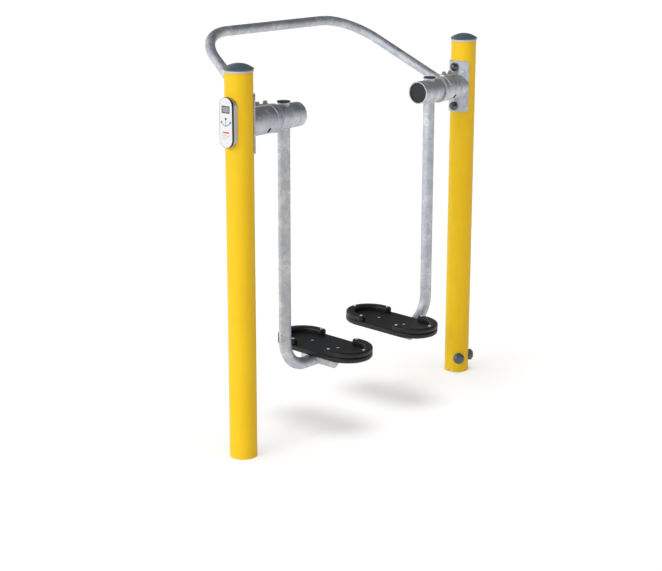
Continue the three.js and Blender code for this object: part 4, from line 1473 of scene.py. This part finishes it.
low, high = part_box("left_post")
seat_radius = (high.y - low.y) / 2 + HAIRLINE
body_front = outs("sign_body")[1]
hollow_front = body_front - SIGN_WALL
rings = [sign_ring(SIGN_WALL + SIGN_INFILL, hollow_front), sign_ring(SIGN_WALL, hollow_front)]
for inset in (SIGN_WALL, 0):
    ring = sign_ring(inset, 0)
    for point in ring:
        point.z = round_face(seat_radius, point.x)
    rings.append(ring)
front_edge = ((0, BODY_ROUND), (BODY_SHOULDER, BODY_SHOULDER), (BODY_ROUND, 0), (BODY_MIDDLE, 0))
rings += [sign_ring(inset, body_front - sink) for inset, sink in front_edge]
add_to_sign("sign_cast_body", skin(rings), cast_grey, ["sign_body"])

back, front = outs("sign_gasket")
small = GASKET_EDGE * 0.3
gasket = [(SIGN_OVERLAP, back), (small, back), (0, back + small), (0, front - GASKET_EDGE),
          (small, front - small), (GASKET_EDGE, front), (SIGN_OVERLAP, front)]
add_to_sign("sign_rubber_gasket", sign_layer(gasket), black_plastic, ["sign_gasket"])

back, front = outs("sign_face")
border = [(BORDER_EDGE, back), (0, back + BORDER_EDGE), (0, front - BORDER_LIP),
          (BORDER_LIP, front - BORDER_SINK)]
add_to_sign("sign_dark_border", sign_layer(border), black_plastic)
plate = [(FACE_BACK_INSET, back + FACE_BACK_SINK), (FACE_INSET, front - FACE_EDGE),
         (FACE_INSET + FACE_EDGE, front), (SIGN_OVERLAP, front)]
add_to_sign("sign_white_face", sign_layer(plate), sign_print, ["sign_face"])
print(f"sign {SIGN_WIDTH:.3f} by {SIGN_LENGTH:.3f} m")

# %% [markdown]
# The solids that stay are the ones inside the pivot and the posts, and the folded channels under the
# footplates. They only need their finishes, and the channels also a small round on their edges, as
# bent sheet has. A modifier does that and leaves the solid's own mesh as it is.

# %% Finishes for the solids that stay
SHEET_ROUND = 1 * MM
record_slots = {row["node"]: row["material_slot"] for row in frame["record"]["subparts"]}
finishes = {"yellow_paint": yellow, "galvanised_steel": galvanised, "machined_steel": machined,
            "black_plastic": black_plastic, "slate_plastic": slate_plastic, "grey_trim": grey_trim,
            "foot_plastic": foot_plastic, "cast_aluminium": cast_grey, "sign_white": sign_print}
for name, node in frame["nodes"].items():
    node.data.materials.clear()
    node.data.materials.append(finishes[record_slots[name]])
for side in SIDES:
    bracket = frame["nodes"][f"{side.name}_foot_bracket"]
    edge = bracket.modifiers.new("edges", "BEVEL")
    edge.width = SHEET_ROUND
    edge.segments = 2
    edge.limit_method = "ANGLE"
    edge.angle_limit = EDGE_ANGLE
shown = [name for name, node in frame["nodes"].items() if not node.hide_render]
print(f"{len(shown)} solids stay in view or inside")

# %% [markdown]
# The studio is a wide white floor under an open sky. The floor looks white because part of it glows by
# itself for the camera and for reflections, and the rest is plain white paint that still takes the
# shadows. For the soft light that it throws back on the walker it is a darker grey, or the lower sides
# of the tubes would have no shade. Light Path tells which kind of ray is asking.

# %% Floor
FLOOR_HALF = 90.0
FLOOR_GLOW = 0.45
FLOOR_WHITE = 0.93
FLOOR_BOUNCE = 0.55

floor_mesh = bpy.data.meshes.new("floor")
corners = [(x * FLOOR_HALF, y * FLOOR_HALF, 0) for x, y in ((-1, -1), (1, -1), (1, 1), (-1, 1))]
floor_mesh.from_pydata(corners, [], [(0, 1, 2, 3)])
floor = bpy.data.objects.new("floor", floor_mesh)
scene.collection.objects.link(floor)
floor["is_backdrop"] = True
paint = Recipe(bpy.data.materials.new("white_floor"))
light_path = paint.node("ShaderNodeLightPath", out="Is Camera Ray")
direct = light_path + light_path.other("Is Glossy Ray") + light_path.other("Is Transmission Ray")
bounced, seen_white = [paint.node("ShaderNodeBsdfDiffuse", None, {"Color": (tone, tone, tone, 1)})
                       for tone in (FLOOR_BOUNCE, FLOOR_WHITE)]
matt = paint.node("ShaderNodeMixShader", None, {0: direct, 1: bounced, 2: seen_white})
glow = paint.node("ShaderNodeEmission", None, {"Color": (1, 1, 1, 1), "Strength": 1.0})
both = paint.node("ShaderNodeMixShader", None, {0: direct * FLOOR_GLOW, 1: matt, 2: glow})
paint.node("ShaderNodeOutputMaterial", None, {"Surface": both})
floor_mesh.materials.append(paint.owner)
print(f"floor {2 * FLOOR_HALF:.0f} m wide")

# %% [markdown]
# Metal shows what is around it, so the sky has a plain order. It is light grey at the horizon and
# darker above, which gives the tubes their dark upper sides. Its left side is brighter, and a small
# bright window leaves a soft streak on the metal. An image of a studio would do the same, but a few
# smooth steps on the direction are enough.

# %% Sky
TO_CAMERA = Vector((-0.7687, -0.6396, 0))
LEFT = Vector((-0.6396, 0.7687, 0))
UP = Vector((0, 0, 1))
WINDOW = Vector((-0.909, 0.151, 0.388))
SKY_TINT = (0.97, 0.985, 1.0, 1)
SKY_LOWEST = 0.15
HORIZON_LIGHT = 0.3
SIDE_LIGHT = 0.8
WINDOW_LIGHT = 2.2

sky = Recipe(bpy.data.worlds.new("studio_sky"))
scene.world = sky.owner
heading = sky.node("ShaderNodeTexCoord", out="Generated")
height = sky.node("ShaderNodeSeparateXYZ", None, {"Vector": heading}, "Z")


def agreement(direction):
    """How far the heading agrees with a direction: 1 along it and 0 across it."""
    return sky.node("ShaderNodeVectorMath", {"operation": "DOT_PRODUCT"}, {0: heading, 1: direction}, "Value")


def fades(value, full, gone):
    """1 where the value is full, and smoothly 0 where it is gone."""
    sockets = {"Value": value, "From Min": full, "From Max": gone, "To Min": 1.0, "To Max": 0.0}
    return sky.node("ShaderNodeMapRange", {"interpolation_type": "SMOOTHSTEP"}, sockets)


horizon = fades(height, 0.03, 0.16) * HORIZON_LIGHT
open_side = fades(height, 0.45, 1.0) * fades(agreement(LEFT), 0.75, -0.05) * SIDE_LIGHT
window = fades(agreement(WINDOW), 0.975, 0.9) * WINDOW_LIGHT
brightness = SKY_LOWEST + worked("MAXIMUM", horizon, open_side) + window
backdrop = sky.node("ShaderNodeBackground", None, {"Color": SKY_TINT, "Strength": brightness})
sky.node("ShaderNodeOutputWorld", None, {"Surface": backdrop})
print("sky with a horizon, an open side and a window")

# %% [markdown]
# Suns with large discs stand for the soft boxes of a studio, and unlike real lamps they light both
# posts alike. One from above draws the soft shadows under the footplates. One from beside the camera
# models the posts, and a faint warm one from the right fills their shaded sides with the deep yellow
# that real powder coat has there. Two small ones at the window are the only ones that metal mirrors.

# %% Suns
WARM = (1.0, 0.66, 0.4)
PANE_ASIDE = 0.07


def add_sun(name, towards, strength, spread, tint=(1.0, 1.0, 1.0), mirrored=False):
    """A sun that shines from a direction, with a disc of the given spread in degrees."""
    sun = bpy.data.objects.new(name, bpy.data.lights.new(name, "SUN"))
    scene.collection.objects.link(sun)
    sun.data.energy = strength
    sun.data.color = tint
    sun.data.angle = math.radians(spread)
    sun.rotation_mode = "QUATERNION"
    sun.rotation_quaternion = towards.to_track_quat("Z", "Y")
    sun.visible_glossy = mirrored


add_sun("top_sun", TO_CAMERA * 0.06 + UP, strength=2.05, spread=34)
add_sun("key_sun", TO_CAMERA * 0.95 + LEFT * 0.3 + UP * 0.5, strength=0.47, spread=60)
add_sun("warm_sun", TO_CAMERA * 0.7 - LEFT * 0.7 + UP * 0.3, strength=0.53, spread=60, tint=WARM)
for name, aside in (("near_pane", -PANE_ASIDE), ("far_pane", PANE_ASIDE)):
    add_sun(name, WINDOW + Vector((0, aside, 0)), strength=0.12, spread=5, mirrored=True)
print("5 suns")

# %% [markdown]
# Last, the box of the dressed model is measured, and how far it grows beyond the solids' box is
# printed.

# %% Check and finish
low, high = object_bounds()
growth = [round(length / MM, 2) for length in (*(cad_low - low), *(high - cad_high))]
print("grows beyond the solids by", growth, "mm")
